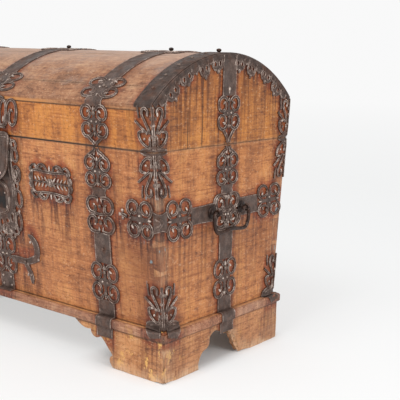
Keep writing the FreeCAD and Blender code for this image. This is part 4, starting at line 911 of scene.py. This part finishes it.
# Lid straps. The same bars carried over the vault, with scroll work under the eave and on the vault.
# Each has the middle knuckle of its hinge at the back. The centre one carries the hasp at the front.
def turned(profile, place, axis, segments=18, bright=0.5):
    """A round solid, from its radii and distances along an axis, in millimetres."""
    axis = Vector(axis).normalized()
    side = axis.orthogonal().normalized()
    other = axis.cross(side)
    corners = []
    for radius, along in profile:
        for k in range(segments):
            a = 2 * math.pi * k / segments
            outwards = side * math.cos(a) + other * math.sin(a)
            corners.append(Vector(place) + axis * along + outwards * max(radius, 0.01))
    faces = [(r * segments + k, r * segments + (k + 1) % segments, (r + 1) * segments + (k + 1) % segments,
              (r + 1) * segments + k) for r in range(len(profile) - 1) for k in range(segments)]
    last = (len(profile) - 1) * segments
    faces += [tuple(range(segments - 1, -1, -1)), tuple(range(last, last + segments))]
    return np.array([c[:] for c in corners]), faces, np.full(len(corners), bright)


def barrel(radius, start, stop, y, z):
    """A knuckle along X with softened ends."""
    edge = 0.8
    low, high = min(start, stop), max(start, stop)
    long = high - low
    return turned([(radius - edge, 0), (radius, edge), (radius, long - edge), (radius - edge, long)],
                  (low, y, z), (1, 0, 0), 20)


hinge_y, hinge_radius, knuckle, play = 299.6, 7.0, strap_wide / 3, 0.1
hasp_knuckle = 5.5


def lid_motif():
    items = both_sides([scroll((3, 612), (7, 618), (16, 624), (27, 634))])
    return items + placed(quatrefoil(48, 46), 0, 672)


def dome_motifs(wide):
    """The work on the vault: a wide foot above the eave and a small pair of scrolls at the ridge."""
    items = placed(quatrefoil(wide, 40), 0, eave_run + 50)
    items += both_sides(placed(quatrefoil(20, 17), 47, ridge_run - 37))
    return items + [bar(26, (-40, ridge_run - 37), (40, ridge_run - 37))]


def lid_strap(offset, motif, foot_wide=64.0):
    """The front part, the back part and the middle knuckle."""
    front = motif + [bar(strap_wide, (0, eave_run - 12), (0, ridge_run))] + dome_motifs(foot_wide)
    back = [bar(strap_wide, (0, 613), (0, ridge_run))] + dome_motifs(foot_wide)
    back += placed(quatrefoil(48, 46), 0, 672)
    middle = barrel(hinge_radius, offset - knuckle / 2 + play, offset + knuckle / 2 - play, hinge_y, seam)
    tongue = plate((-knuckle / 2, 606), (knuckle / 2, 606), (knuckle / 2, 620), (-knuckle / 2, 620))
    return [(placed(front, offset), on_front), (placed(back + [tongue], -offset), on_back)], [middle]


parts, knuckles = lid_strap(strap_x, lid_motif())
lid_right = forge("lid_strap_right_iron", "lid", ["lid_strap_right"], parts, knuckles)
mirrored(lid_right, "lid_strap_left_iron", "lid", ["lid_strap_left"])

hasp_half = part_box("hasp")[1].x * 1000
hasp_pin_y, hasp_pin_z = [500 * sum(corner[k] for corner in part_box("hasp_pin")) for k in (1, 2)]
centre_motif = both_sides([
    scroll((60, 640), (64, 668), (70, 694), (84, 709), (102, 708), (110, 692), (108, 668), (100, 646),
           (86, 638), (76, 648), (78, 668), (86, 684), width=9),
    scroll((34, 640), (36, 668), (44, 694), (56, 708), (66, 700), (64, 676), (56, 652), (48, 644), width=8),
    drop(86, 684, 96, 676, 9), drop(48, 646, 52, 664, 8), stud(98, 652, 8),
    scroll((30, 634), (46, 634), (60, 640)),
    scroll((30, 712), (46, 716), (60, 712)), vein((22, 640), (12, 664), (20, 690), (10, 708))])
centre_motif += [bar(strap_wide, (0, 630), (0, 720)), bar(14, (-hasp_half + 2, 634), (hasp_half - 2, 634))]
parts, knuckles = lid_strap(0.0, centre_motif, 80.0)
for way in (-1, 1):
    knuckles.append(barrel(hasp_knuckle, way * 10.3, way * strap_wide / 2, hasp_pin_y, hasp_pin_z))
forge("lid_strap_centre_iron", "lid", ["lid_strap_centre"], parts, knuckles)

lid_end = both_sides([scroll((3, 613), (6, 624), (14, 636), (27, 650))]) + placed(quatrefoil(48, 48), 0, 692)
lid_end = placed(lid_end + [bar(strap_wide, (0, 738), (0, ridge - 4)), drop(0, 762, 0, 742, 12)], end_y)
lid_end_right = forge("lid_end_strap_right_iron", "lid", ["lid_end_strap_right"], [(lid_end, on_right)])
mirrored(lid_end_right, "lid_end_strap_left_iron", "lid", ["lid_end_strap_left"])

# Back hinges. A forged leaf down the back below each lid strap, with the outer two knuckles of its hinge.
# They are nailed on, and a loose pin joins them to the lid.
leaf_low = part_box("back_hinge_right")[0].z * 1000


def back_leaf(offset):
    leaf = [bar(strap_wide, (0, leaf_low + 92), (0, seam - 12))]
    leaf += placed(quatrefoil(46, 46), 0, leaf_low + 48)
    leaf += [stud(0, 440, 8), stud(0, 520, 8), stud(-16, 580, 8), stud(16, 580, 8)]
    rounds = []
    for way in (-1, 1):
        inner, outer = offset + way * (knuckle / 2 + play), offset + way * strap_wide / 2
        rounds.append(barrel(hinge_radius, inner, outer, hinge_y, seam))
        low_u, high_u = sorted((-offset + way * (knuckle / 2 + 2 * play), -offset + way * strap_wide / 2))
        tab = ((low_u, 590), (high_u, 590), (high_u, 605), (low_u, 605))
        leaf.append(plate(*[(u + offset, v) for u, v in tab]))
    return [(placed(leaf, -offset), on_back)], rounds


for side_name, offset in (("right", strap_x), ("centre", 0.0), ("left", -strap_x)):
    parts, rounds = back_leaf(offset)
    forge("back_hinge_%s_iron" % side_name, "case", ["back_hinge_" + side_name], parts, rounds)

# Wrap bands. Bars round each end at handle height, with scroll work on the front, behind the
# handle and towards the back. Made flat and bent round the corner.
plan = Outline([(-300, 0), (0, 0), (0, 600)], -300)


def round_corner(p):
    """Along the wall from the right front corner: to the left on the front, to the right on the end."""
    z = p[:, 1]
    along, side_in = plan.at(p[:, 0], p[:, 2])
    return np.column_stack([half_length + along, -half_depth(z) + side_in, z])


corner_p = half_depth(428.0)
wrap = placed(quatrefoil(50, 46), -60, 431, swap=True)
wrap += [bar(52, (-14, 428, 1.12), (9, 428, 0.86), (32, 428, 1.1)), vein((-6, 440), (6, 428), (-6, 416)),
         vein((4, 440), (16, 428), (4, 416))]
wrap += [scroll((-104, 433), (-114, 436), (-122, 438)), stud(-128, 437, 10), stud(-119, 448, 9),
         stud(-119, 427, 9)]
wrap += placed(quatrefoil(54, 52), corner_p - 195, 427, swap=True)
wrap += [bar(52, (corner_p - 147, 428, 1.05), (corner_p - 130, 428, 0.9), (corner_p - 40, 428)),
         bar(52, (corner_p + 60, 428), (corner_p + 152, 428))]
wrap += placed(quatrefoil(60, 50), corner_p + 8, 426)
wrap += placed(quatrefoil(48, 60), corner_p + 211, 429, swap=True)
wrap_right = forge("wrap_band_right_iron", "case", ["wrap_band_right"], [(wrap, round_corner)])
mirrored(wrap_right, "wrap_band_left_iron", "case", ["wrap_band_left"])


# Corner mounts. Pierced palmettes folded round the corners of the case and of the lid.
# Cut and chased from thin sheet, nailed on both faces, the lowest ones beaten over the moulding.
def palmette():
    """Half of a mount, with the corner at the left and its foot at the bottom."""
    return [
        scroll((10, 42), (14, 54), (21, 66), (28, 78), (33, 90), (31, 101), (23, 105), (15, 100), (13, 92),
               width=7.5),
        drop(15, 84, 15, 99, 9), vein((47, 110), (46, 95), (43, 79), width=5),
        scroll((57, 72), (37, 57), (17, 42), width=6.5),
        scroll((36, 46), (45, 44), (46.5, 36), (42, 25), (31, 14), (18, 8), (10, 14), (10, 24), width=7.5),
        drop(38, 47, 27, 45, 9), drop(10, 23, 12, 35, 9), stud(28, 28, 7),
        plate((0, 39), (12, 41), (14, 46), (7, 50), (0, 52)),
        plate((0, -3), (44, -3), (36, 4), (16, 6), (0, 12)),
        vein((44, -2), (30, 2), (14, 4), (4, 10)),
    ]


def folded_mount(foot, way, height, top):
    """The parts of a mount on both faces of a corner: way is 1 with its foot down and -1 with it up."""
    half = placed(palmette(), 0, foot, 1, way * height / 110)
    middle = [scroll((0, foot + way), (0, top), width=5.5),
              drop(-1.5, foot + way * 62, 1.5, foot + way * 62, 12)]
    return (both_sides(half) + middle, round_corner)


def on_rear_corner(to_front):
    """The same surface at the back corner."""
    def turned_round(p):
        q = to_front(p * np.array([-1, 1, 1]))
        return q * np.array([1, -1, 1])
    return turned_round


def four_corners(parts):
    """A right-hand front corner's parts carried to the right-hand back corner too."""
    return parts + [(items, on_rear_corner(surface)) for items, surface in parts]


def at_foot(p):
    """Round the corner over the moulding and down the plinth."""
    end_out, high_z = short_side.at(p[:, 1], np.zeros(len(p)))
    along, side_in = plan.at(p[:, 0], p[:, 2])
    deep = foot_half_depth + end_out - half_length + lean * np.maximum(0, high_z - plinth_top)
    return np.column_stack([end_out + along, -deep + side_in, high_z])


upper_mount = folded_mount(602, -1, 113, 489)
lower_mount = folded_mount(152, 1, 110, 260)
lower_base = (both_sides([plate((0, 142), (60, 142), (58, 152), (44, 160), (24, 163), (0, 166)),
                          vein((58, 152), (44, 160), (24, 163), (4, 166))]), round_corner)
wings = both_sides([bar(50, (34, 150, 0.95), (36, 128, 1.05), (31, 108, 0.72))])
lid_mount = folded_mount(612, 1, 109, 720)
mounts = (("upper_corner_mounts", "case", [upper_mount]),
          ("lower_corner_mounts", "case", [lower_mount, lower_base, (wings, at_foot)]),
          ("lid_corner_mounts", "lid", [lid_mount]))
for node, body, parts in mounts:
    piece = forge(node + "_right_iron", body, [node], four_corners(parts))
    mirrored(piece, node + "_left_iron", body, [node])

# Edge bands. A wide chased band over each end of the vault, with pierced leaves hanging on the end wall.
band_wide = 59.0
edge_u = half_length - band_wide / 2


def on_arch(p):
    """On the end wall under the vault: along the edge from the ridge, and down from the edge."""
    a = p[:, 0] / dome_radius
    r = dome_radius + p[:, 1]
    return np.column_stack([half_length + p[:, 2], r * np.sin(a), dome_middle + r * np.cos(a)])


over = [chase((0, eave_run - 6), (0, ridge_run), width=band_wide)]
chased = int((ridge_run - eave_run) / 44)
for k in range(chased):
    v = eave_run + 18 + k * (ridge_run - eave_run - 24) / chased
    over += both_sides([chase((4, v), (16, v + 3), (24, v + 14), (18, v + 26), (8, v + 24), (9, v + 14))])
    over += [chase((-9, v + 30), (0, v + 38), (9, v + 30))]
# A leaf hangs at a distance from the ridge, with a half width and a reach, and its half outline is in shares
# of these.
leaf_places = ((52, 23, 48), (84, 12, 22), (112, 21, 54), (150, 17, 30), (191, 27, 44), (227, 10, 22),
               (258, 26, 52), (300, 16, 34))
leaf_shares = ((0.8, -0.3), (1, -0.55), (0.65, -0.8), (0.3, -0.82))
hung = []
for x, wide, reach in leaf_places:
    half_leaf = [(a * wide, b * reach) for a, b in leaf_shares]
    lobe = [(-wide, -4), (wide, -4)] + half_leaf + [(0, -reach)] + [(-a, b) for a, b in half_leaf[::-1]]
    lobe = [(x + a, b) for a, b in lobe]
    holes = [oval(x + s * 0.45 * wide, -0.5 * reach, 6.0, 8.0) for s in (-1, 1)] if wide > 20 else []
    leaf = [("plate", [lobe] + holes, leaf_sheet), vein(*(lobe[2:]), width=4.6)]
    leaf += [vein(*(hole + hole[:1]), width=3.4) for hole in holes]
    leaf += [drop(x, -0.8 * reach, x, -reach + 1, 6)]
    hung += both_sides(leaf)
arc_half = half_angle * dome_radius - 2
fillet = [chase(*[(u, -7) for u in np.linspace(-arc_half, arc_half, 9)], width=14)]
edge_right = forge("edge_band_right_iron", "lid", ["edge_band_right"],
                   [(placed(over, edge_u), on_front), (placed(over, -edge_u), on_back),
                    (hung + fillet, on_arch)])
mirrored(edge_right, "edge_band_left_iron", "lid", ["edge_band_left"])

# Lock plate. A large pierced plate of scroll lobes nailed round the keyhole, under the hasp.
# The keyhole lies in a dark field inside a raised arched line.
plate_half = [(0, 599), (71, 599), (72, 566), (67, 540), (68, 508), (68, 480), (64, 464), (70, 440),
              (70, 408), (63, 390), (66, 362), (60, 334), (40, 322), (0, 318)]
plate_outline = plate_half + [(-x, y) for x, y in plate_half[-2:0:-1]]
side_holes = ((60, 574, 5, 9), (50, 364, 7, 14), (26, 352, 8, 8), (34, 334, 10, 5))
piercings = [oval(s * x, y, rx, ry) for s in (-1, 1) for x, y, rx, ry in side_holes]
piercings.append(oval(0, 344, 8, 13))
lock_work = sheet(plate_outline, piercings, 4.5)
lock_work += both_sides([
    hoop(84, 583, 11, 12), hoop(86, 552, 11, 18, 8), hoop(86, 498, 14, 22, 8), hoop(84, 497, 5, 12, 5),
    hoop(80, 462, 9, 11, 6), hoop(87, 425, 13, 24, 8), hoop(78, 356, 12, 26, 8), hoop(62, 325, 12, 10, 7),
    hoop(30, 318, 14, 8, 7),
    stud(75, 581, 9), stud(69, 537, 9), stud(88, 470, 8), stud(84, 388, 10), stud(27, 436, 7),
    stud(32, 394, 9), stud(84, 336, 8),
    vein((58, 596), (60, 550), (54, 505), (60, 470), (62, 430), (58, 395), (54, 350)),
    scroll((0, 474), (22, 468), (38, 450), (44, 425), (40, 398), (26, 378), (0, 370), width=8)])
keyhole_field = [(-24, 388), (24, 388), (26, 430), (20, 452), (0, 462), (-20, 452), (-26, 430)]
keyhole = [("plate", [keyhole_field], keyhole_sheet)]
# A near-black iron sheet covers the keyhole's field.
dark_iron = iron_finish("forged_iron_near_black", "#17110e", "#1d1613", "#2a211c")
forge("lock_plate_iron", "case", ["lock_plate"], [(lock_work, on_front)])
joined("keyhole_field", "case", ["lock_plate"], hammered(keyhole, on_front), dark_iron)

# Hasp. A broad forged tongue with a rounded tip, hung by one knuckle from a pin under the centre strap.
# It drops over the lock plate and isn't nailed.
hasp_face = hasp_pin_y + 2.6
hasp_half_outline = [(0, 475), (20, 478), (40, 487), (56, 503), (64, 525), (66, 560), (66, 612), (0, 612)]
hasp_work = sheet(hasp_half_outline + [(-x, y) for x, y in hasp_half_outline[-2:0:-1]], [], 5.0)
hasp_work += both_sides([chase((8, 486), (30, 493), (50, 512), (58, 545), (58, 606)), stud(34, 497, 9),
                         chase((4, 502), (14, 530), (20, 562), (22, 592)),
                         chase((9, 500), (26, 522), (38, 552), (42, 590))])
hasp_work += [bar(9, (-64, 606), (64, 606)), chase((0, 502), (0, 594)), stud(0, 493, 9),
              plate((-9.5, 606), (9.5, 606), (9.5, 620), (-9.5, 620))]


def on_hasp(p):
    return np.column_stack([p[:, 0], hasp_face - p[:, 2], p[:, 1]])


hasp_round = barrel(hasp_knuckle, -9.9, 9.9, hasp_pin_y, hasp_pin_z)
forge("hasp_iron", "hasp", ["hasp"], [(hasp_work, on_hasp)], [hasp_round])

# Lock strap. A short strap below the lock plate, with a curved arm to each side and scroll work above.
arm = both_sides([
    bar(21, (30, 236), (60, 238), (95, 238, 0.9), (122, 246), (146, 256)),
    bar(22, (110, 320, 0.3), (126, 314, 0.8), (139, 301), (146, 282), (144, 264), (134, 250)),
    bar(18, (92, 232), (101, 217), (110, 203), (114, 188), (113, 172, 0.45)),
    stud(120, 300, 8), stud(150, 252, 9), stud(112, 200, 7), drop(101, 203, 96, 192, 7)])
lock_strap = arm + placed(quatrefoil(50, 62), 0, 248) + [bar(strap_wide, (0, 190), (0, 120))]
lock_strap += both_sides([stud(18, 176, 8), stud(18, 150, 8), hoop(20, 326, 15, 13), hoop(46, 312, 10, 10),
                          drop(20, 318, 20, 334, 9), vein((4, 300), (10, 318), (4, 338))])
forge("lock_strap_iron", "case", ["lock_strap"], [(lock_strap, on_front)])

# Plaques. A pierced frame on each side of the lock with a crest of scrolls, and a leafed stem inside.
# Nailed to the front at hand height.
plaque = both_sides([
    scroll((0, 517), (30, 518), (62, 520), (76, 514), (79, 500), (80, 488), (79, 474), (76, 462), (62, 455),
           (30, 458), (0, 459), width=8),
    scroll((12, 520), (22, 534), (38, 537), (50, 530), (44, 522), (36, 526), width=7),
    scroll((52, 522), (62, 534), (76, 532), (84, 520), (78, 512), width=7),
    scroll((12, 456), (22, 442), (38, 439), (50, 446), (44, 454), (36, 450), width=7),
    scroll((52, 454), (62, 441), (76, 443), (84, 456), (78, 463), width=7),
    scroll((84, 508), (90, 498), (86, 488), (90, 478), (84, 468), width=6),
    scroll((8, 488), (40, 488), (72, 488), width=5), hoop(4, 488, 6, 9, 5),
    *[drop(x, 488 + 3 * s, x + 9, 488 + 16 * s, 7) for x in (14, 29, 44, 59) for s in (-1, 1)],
    drop(28, 532, 38, 530, 7), drop(28, 445, 38, 447, 7), stud(76, 516, 8), stud(76, 461, 8)])
plaque += [drop(0, 520, 0, 536, 10), drop(0, 456, 0, 440, 10), stud(0, 488, 9)]
plaque_u = (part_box("plaque_right")[0].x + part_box("plaque_right")[1].x) * 500
plaque_right = forge("plaque_right_iron", "case", ["plaque_right"],
                     [(placed(plaque, plaque_u, 0, 0.95), on_front)])
mirrored(plaque_right, "plaque_left_iron", "case", ["plaque_left"])

# Handles. A bail of round iron bar at each end, hung in two ringed staples with domed roses.
# Drawn and bent hot, the staples clenched inside the wall. Rusty where hands don't reach.
# Rust browns the handles, and their skin, rubbed by hands, has more gloss than the straps.
rusty_iron = iron_finish("forged_iron_rusty", "#1c130f", "#40302a", "#b09a8c", metallic=0.55, rough=0.36,
                         rust=0.8)
rod_tree, rod_in = geometry_tree("rod_along_a_line", ["Radius"])
disc = add(rod_tree, "GeometryNodeCurvePrimitiveCircle", {},
           {"Resolution": 12, "Radius": rod_in.outputs["Radius"]})
thinning = add(rod_tree, "GeometryNodeInputRadius").outputs[0]
rod = add(rod_tree, "GeometryNodeCurveToMesh", {}, {
    "Curve": rod_in.outputs[0], "Profile Curve": disc.outputs[0], "Scale": thinning, "Fill Caps": True})
close_tree(rod_tree, with_relief(rod_tree, rod.outputs[0], 0.5), rusty_iron)


def rod_along(points, radius, shut=False):
    """A round bar along a smooth line through points with a width each."""
    rows = np.array([tuple(p) + (1.0,) * (4 - len(p)) for p in points], float)
    fine = smoothed(rows, 2 * rows[0] - rows[1], 2 * rows[-1] - rows[-2], 6)
    fine = fine if shut else fine + [rows[-1]]
    curve = bpy.data.curves.new("rod", "CURVE")
    curve.dimensions = "3D"
    stroke(curve, fine, shut)
    return grown(curve, rod_tree, {"Radius": radius})


bail_low, bail_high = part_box("bail_right")
bail_x, bail_z = (bail_low.x + bail_high.x) * 500, bail_high.z * 1000 - 5
half_path = [(56, 0, 0.9), (66, 1), (76, -2, 1.0), (78, -14), (76, -34), (70, -48), (58, -56, 1.08),
             (34, -55), (14, -52, 1.15), (0, -51, 1.2)]
bail_path = [(bail_x, end_y + p[0], bail_z + p[1]) + tuple(p[2:]) for p in half_path]
bail_path += [(bail_x, 2 * end_y - p[1], p[2]) + tuple(p[3:]) for p in bail_path[-2::-1]]
rod_radius, wire_radius, knob_half, rose_out = 4.9, 2.6, 57, 3.2
bail = [rod_along(bail_path, rod_radius)]
knob = [(0, 0), (4, 0.6), (6, 3), (6.4, 5), (5.6, 8), (3, 10), (0, 10.4)]
for way in (-1, 1):
    bail.append(turned(knob, (bail_x, end_y + way * knob_half, bail_z), (0, -way, 0)))
bail_right = joined("bail_right_iron", "bail_right", ["bail_right"], bail, rusty_iron)
mirrored(bail_right, "bail_left_iron", "bail_left", ["bail_left"])
staples = []
staple_half, eye_radius = 65.7, 7.9
rose = [(0, 0), (16.5, 0), (17, 1.5), (15, 3), (11, 4.2), (9, 4.0), (7.5, 5.5), (6, 7.5), (5, 9), (0, 9)]
for y in (end_y - staple_half, end_y + staple_half):
    staples.append(turned(rose, (half_length + rose_out, y, bail_z), (1, 0, 0), 20, 0.25))
    eye = [(bail_x + eye_radius * math.cos(a), y, bail_z + eye_radius * math.sin(a))
           for a in np.linspace(0, 2 * math.pi, 13)]
    staples.append(rod_along(eye, wire_radius, True))
staples_right = joined("handle_staples_right_iron", "case", ["handle_staples_right"], staples, rusty_iron)
mirrored(staples_right, "handle_staples_left_iron", "case", ["handle_staples_left"])

# Ridge knobs. Small round knobs turned in iron, driven into the ridge through the straps.
ridge_knob = [(0, 0), (6.4, 0), (6.8, 1), (5.4, 2), (4, 2.6), (5.4, 3.8), (6.7, 5.6), (7.1, 7.6), (6.4, 9.7),
              (4, 11.4), (0, 12)]
knobs = [turned(ridge_knob, (x, 0, ridge + 0.6), (0, 0, 1), 16, 0.45) for x in (-584, -416, 0, 416, 584)]
joined("ridge_knobs_iron", "lid", ["ridge_knobs"], knobs, rusty_iron)

# Nails. Forged nails with low domed heads through every strap and mount, their heads rubbed bright.
# Hammered by hand, so no two sit or shine quite alike.
# Rubbed heads stand out as paler dots on the dark straps.
nail_iron = iron_finish("forged_iron_rubbed_heads", "#32261f", "#6a5850", "#b3a294", metallic=0.5)
nail_tree, nail_in = geometry_tree("nail_heads_on_points", ["Radius"])
head = add(nail_tree, "GeometryNodeMeshIcoSphere", {}, {"Radius": nail_in.outputs["Radius"],
                                                        "Subdivisions": 2})
flat = add(nail_tree, "GeometryNodeTransform", {}, {0: head.outputs[0], "Scale": (1.0, 1.0, 0.55)})
facing = add(nail_tree, "GeometryNodeInputNamedAttribute", {"data_type": "FLOAT_VECTOR"},
             {"Name": "facing"}).outputs[0]
aimed = add(nail_tree, "FunctionNodeAlignRotationToVector", {"axis": "Z"}, {"Vector": facing})
own_size = add(nail_tree, "FunctionNodeRandomValue", {"data_type": "FLOAT"},
               {2: 0.8, 3: 1.15, "Seed": 7}).outputs[1]
heads = add(nail_tree, "GeometryNodeInstanceOnPoints", {}, {
    "Points": nail_in.outputs[0], "Instance": with_relief(nail_tree, flat.outputs[0], 0.6),
    "Rotation": aimed.outputs[0], "Scale": own_size})
close_tree(nail_tree, heads.outputs[0], nail_iron)
# The hasp covers the front to each side of its middle and down to its tip.
hasp_reach, hasp_tip = 72, 500


def nail_heads(node, body):
    """Heads at the places of the nails in a node, which are separate solids."""
    shape = bmesh.new()
    shape.from_mesh(nodes[node].data)
    bmesh.ops.remove_doubles(shape, verts=shape.verts, dist=1e-5)
    left = set(shape.verts)
    places, facings = [], []
    for start in shape.verts:
        if start not in left:
            continue
        left.discard(start)
        wave, island = [start], []
        while wave:
            v = wave.pop()
            island.append(v.co)
            for edge in v.link_edges:
                other = edge.other_vert(v)
                if other in left:
                    left.discard(other)
                    wave.append(other)
        middle = sum(island, Vector()) / len(island) * 1000
        if abs(middle.x) > half_length - 8:
            face = Vector((math.copysign(1, middle.x), 0, 0))
        elif middle.z > eave:
            face = Vector((0, middle.y, middle.z - dome_middle)).normalized()
        else:
            face = Vector((0, math.copysign(1, middle.y), -lean)).normalized()
        outermost = max(point.dot(face) for point in island) * 1000
        # Under the hasp the heads are beaten flush with the plate.
        under_hasp = node == "case_nails" and abs(middle.x) < hasp_reach and middle.z > hasp_tip
        sunk = 4.6 if under_hasp else 2.4
        places.append(middle + face * (outermost - middle.dot(face) - sunk))
        facings += list(face)
    shape.free()
    points = bpy.data.meshes.new(node)
    points.from_pydata(places, [], [])
    points.attributes.new("facing", "FLOAT_VECTOR", "POINT").data.foreach_set("vector", facings)
    joined(node + "_iron", body, [node], [grown(points, nail_tree, {"Radius": 5.6})], nail_iron)


nail_heads("case_nails", "case")
nail_heads("lid_nails", "lid")

# Lock and pins. A black iron box inside the front with its bolt, the keeper on the lid and the loose pins.
# Plain smith's work, left from the hammer.
# Hammer scale leaves an even, dull brown grey.
plain_iron = iron_finish("forged_iron_plain", "#4a3f39", "#5c514c", "#7a706a")
dress(plain_iron, "lock_case", "lock_bolt", "lid_keeper", "hasp_pin", "hinge_pins")

# The studio. A white paper floor, a large soft lamp above and to the left and an even white room.
# The camera stands where the photograph was taken from, at the height of the lid.
scene = bpy.context.scene
scene.view_settings.view_transform = "Standard"
yaw, pitch, roll = -0.6731, 0.1743, 0.0201
forward = Vector((math.sin(yaw) * math.cos(pitch), math.cos(yaw) * math.cos(pitch), -math.sin(pitch)))
level = Vector((math.cos(yaw), -math.sin(yaw), 0))
above = level.cross(forward)
right_way = math.cos(roll) * level + math.sin(roll) * above
up_way = -math.sin(roll) * level + math.cos(roll) * above
lens = bpy.data.cameras.new("camera")
lens.sensor_width = 36.0
lens.lens = 78.63
lens.clip_end = 200.0
camera = bpy.data.objects.new("camera", lens)
scene.collection.objects.link(camera)
camera_place = Vector((2.0299, -1.8819, 0.8670))
turning = Matrix((right_way, up_way, -forward)).transposed().to_4x4()
camera.matrix_world = Matrix.Translation(camera_place) @ turning
scene.camera = camera


def to_the_lens(tree):
    """1 for rays from the camera, also where they pass through something."""
    path = add(tree, "ShaderNodeLightPath").outputs
    return worked(tree, {}, [("seen", "SUM", path["Is Camera Ray"], path["Is Transmission Ray"])])["seen"]


# Paper gives a white ground. A painted glow, seen only by the camera, lifts its soft shadows near the chest,
# dims it a little a few metres out and lights it up towards its far edge to meet the room; under the right
# end the glow is left out, so the floor there keeps its rendered shade.
paper = bpy.data.materials.new("white_paper")
paper.use_nodes = True
tree = paper.node_tree
shader = tree.nodes["Principled BSDF"]
shader.inputs["Base Color"].default_value = srgb("#f4f4f4")
shader.inputs["Roughness"].default_value = 0.9
backdrop = (0.945, 0.945, 0.945, 1)
place = add(tree, "ShaderNodeTexCoord").outputs["Object"]
values = dict(zip("xy", add(tree, "ShaderNodeSeparateXYZ", {}, {0: place}).outputs))
values["away"] = add(tree, "ShaderNodeVectorMath", {"operation": "LENGTH"}, {0: place}).outputs["Value"]
worked(tree, values, (
    ("near", "RANGE", "away", 1.0, 3.0), ("tint", "MIX", "near", (0.99, 1.0, 1.0, 1), (0.885, 0.89, 0.89, 1)),
    ("far", "RANGE", "away", 3.5, 12.0), ("tint", "MIX", "far", "tint", backdrop),
    ("x", "ABSOLUTE", "x"), ("y", "ABSOLUTE", "y"),
    ("under_end", "RANGE", "x", 0.3, 0.42), ("outer", "RANGE", "x", 0.66, 0.6),
    ("under_end", "MULTIPLY", "under_end", "outer"), ("deep", "RANGE", "y", 0.31, 0.25),
    ("under_end", "MULTIPLY", "under_end", "deep"), ("dark", "RANGE", "under_end", 0.0, 1.0, 1.0, 0.06),
    ("share", "RANGE", "away", 0.8, 3.0, 0.55, 1.0), ("share", "MULTIPLY", to_the_lens(tree), "share"),
    ("share", "MULTIPLY", "share", "dark")))
# The glow is painted light on the floor, seen only by the camera.
glow = add(tree, "ShaderNodeEmission", {}, {"Color": values["tint"], "Strength": 1.0})
lifted_by_painted_glow = add(tree, "ShaderNodeMixShader", {}, {0: values["share"], 1: shader.outputs[0], 2: glow.outputs[0]})
tree.links.new(lifted_by_painted_glow.outputs[0], tree.nodes["Material Output"].inputs["Surface"])
shape = bmesh.new()
bmesh.ops.create_circle(shape, cap_ends=True, radius=60.0, segments=96)
floor_mesh = bpy.data.meshes.new("floor")
shape.to_mesh(floor_mesh)
shape.free()
floor_mesh.materials.append(paper)
floor = bpy.data.objects.new("floor", floor_mesh)
scene.collection.objects.link(floor)

world = bpy.data.worlds.new("room")
world.use_nodes = True
scene.world = world
tree = world.node_tree
background = tree.nodes["Background"]
shade = add(tree, "ShaderNodeMix", {"data_type": "RGBA"},
            {0: to_the_lens(tree), 6: (0.66, 0.66, 0.66, 1), 7: backdrop})
tree.links.new(shade.outputs[2], background.inputs["Color"])


def lamp(name, place, target, size, watts):
    light = bpy.data.lights.new(name, "AREA")
    light.shape, light.size, light.energy = "DISK", size, watts
    holder = bpy.data.objects.new(name, light)
    scene.collection.objects.link(holder)
    holder.location = place
    holder.rotation_euler = (Vector(target) - Vector(place)).to_track_quat("-Z", "Y").to_euler()


lamp("key", (0.6, -2.6, 3.4), (0, 0, 0.4), 1.8, 64)
lamp("fill", (3.4, -0.6, 2.0), (0.3, 0, 0.4), 1.8, 34)
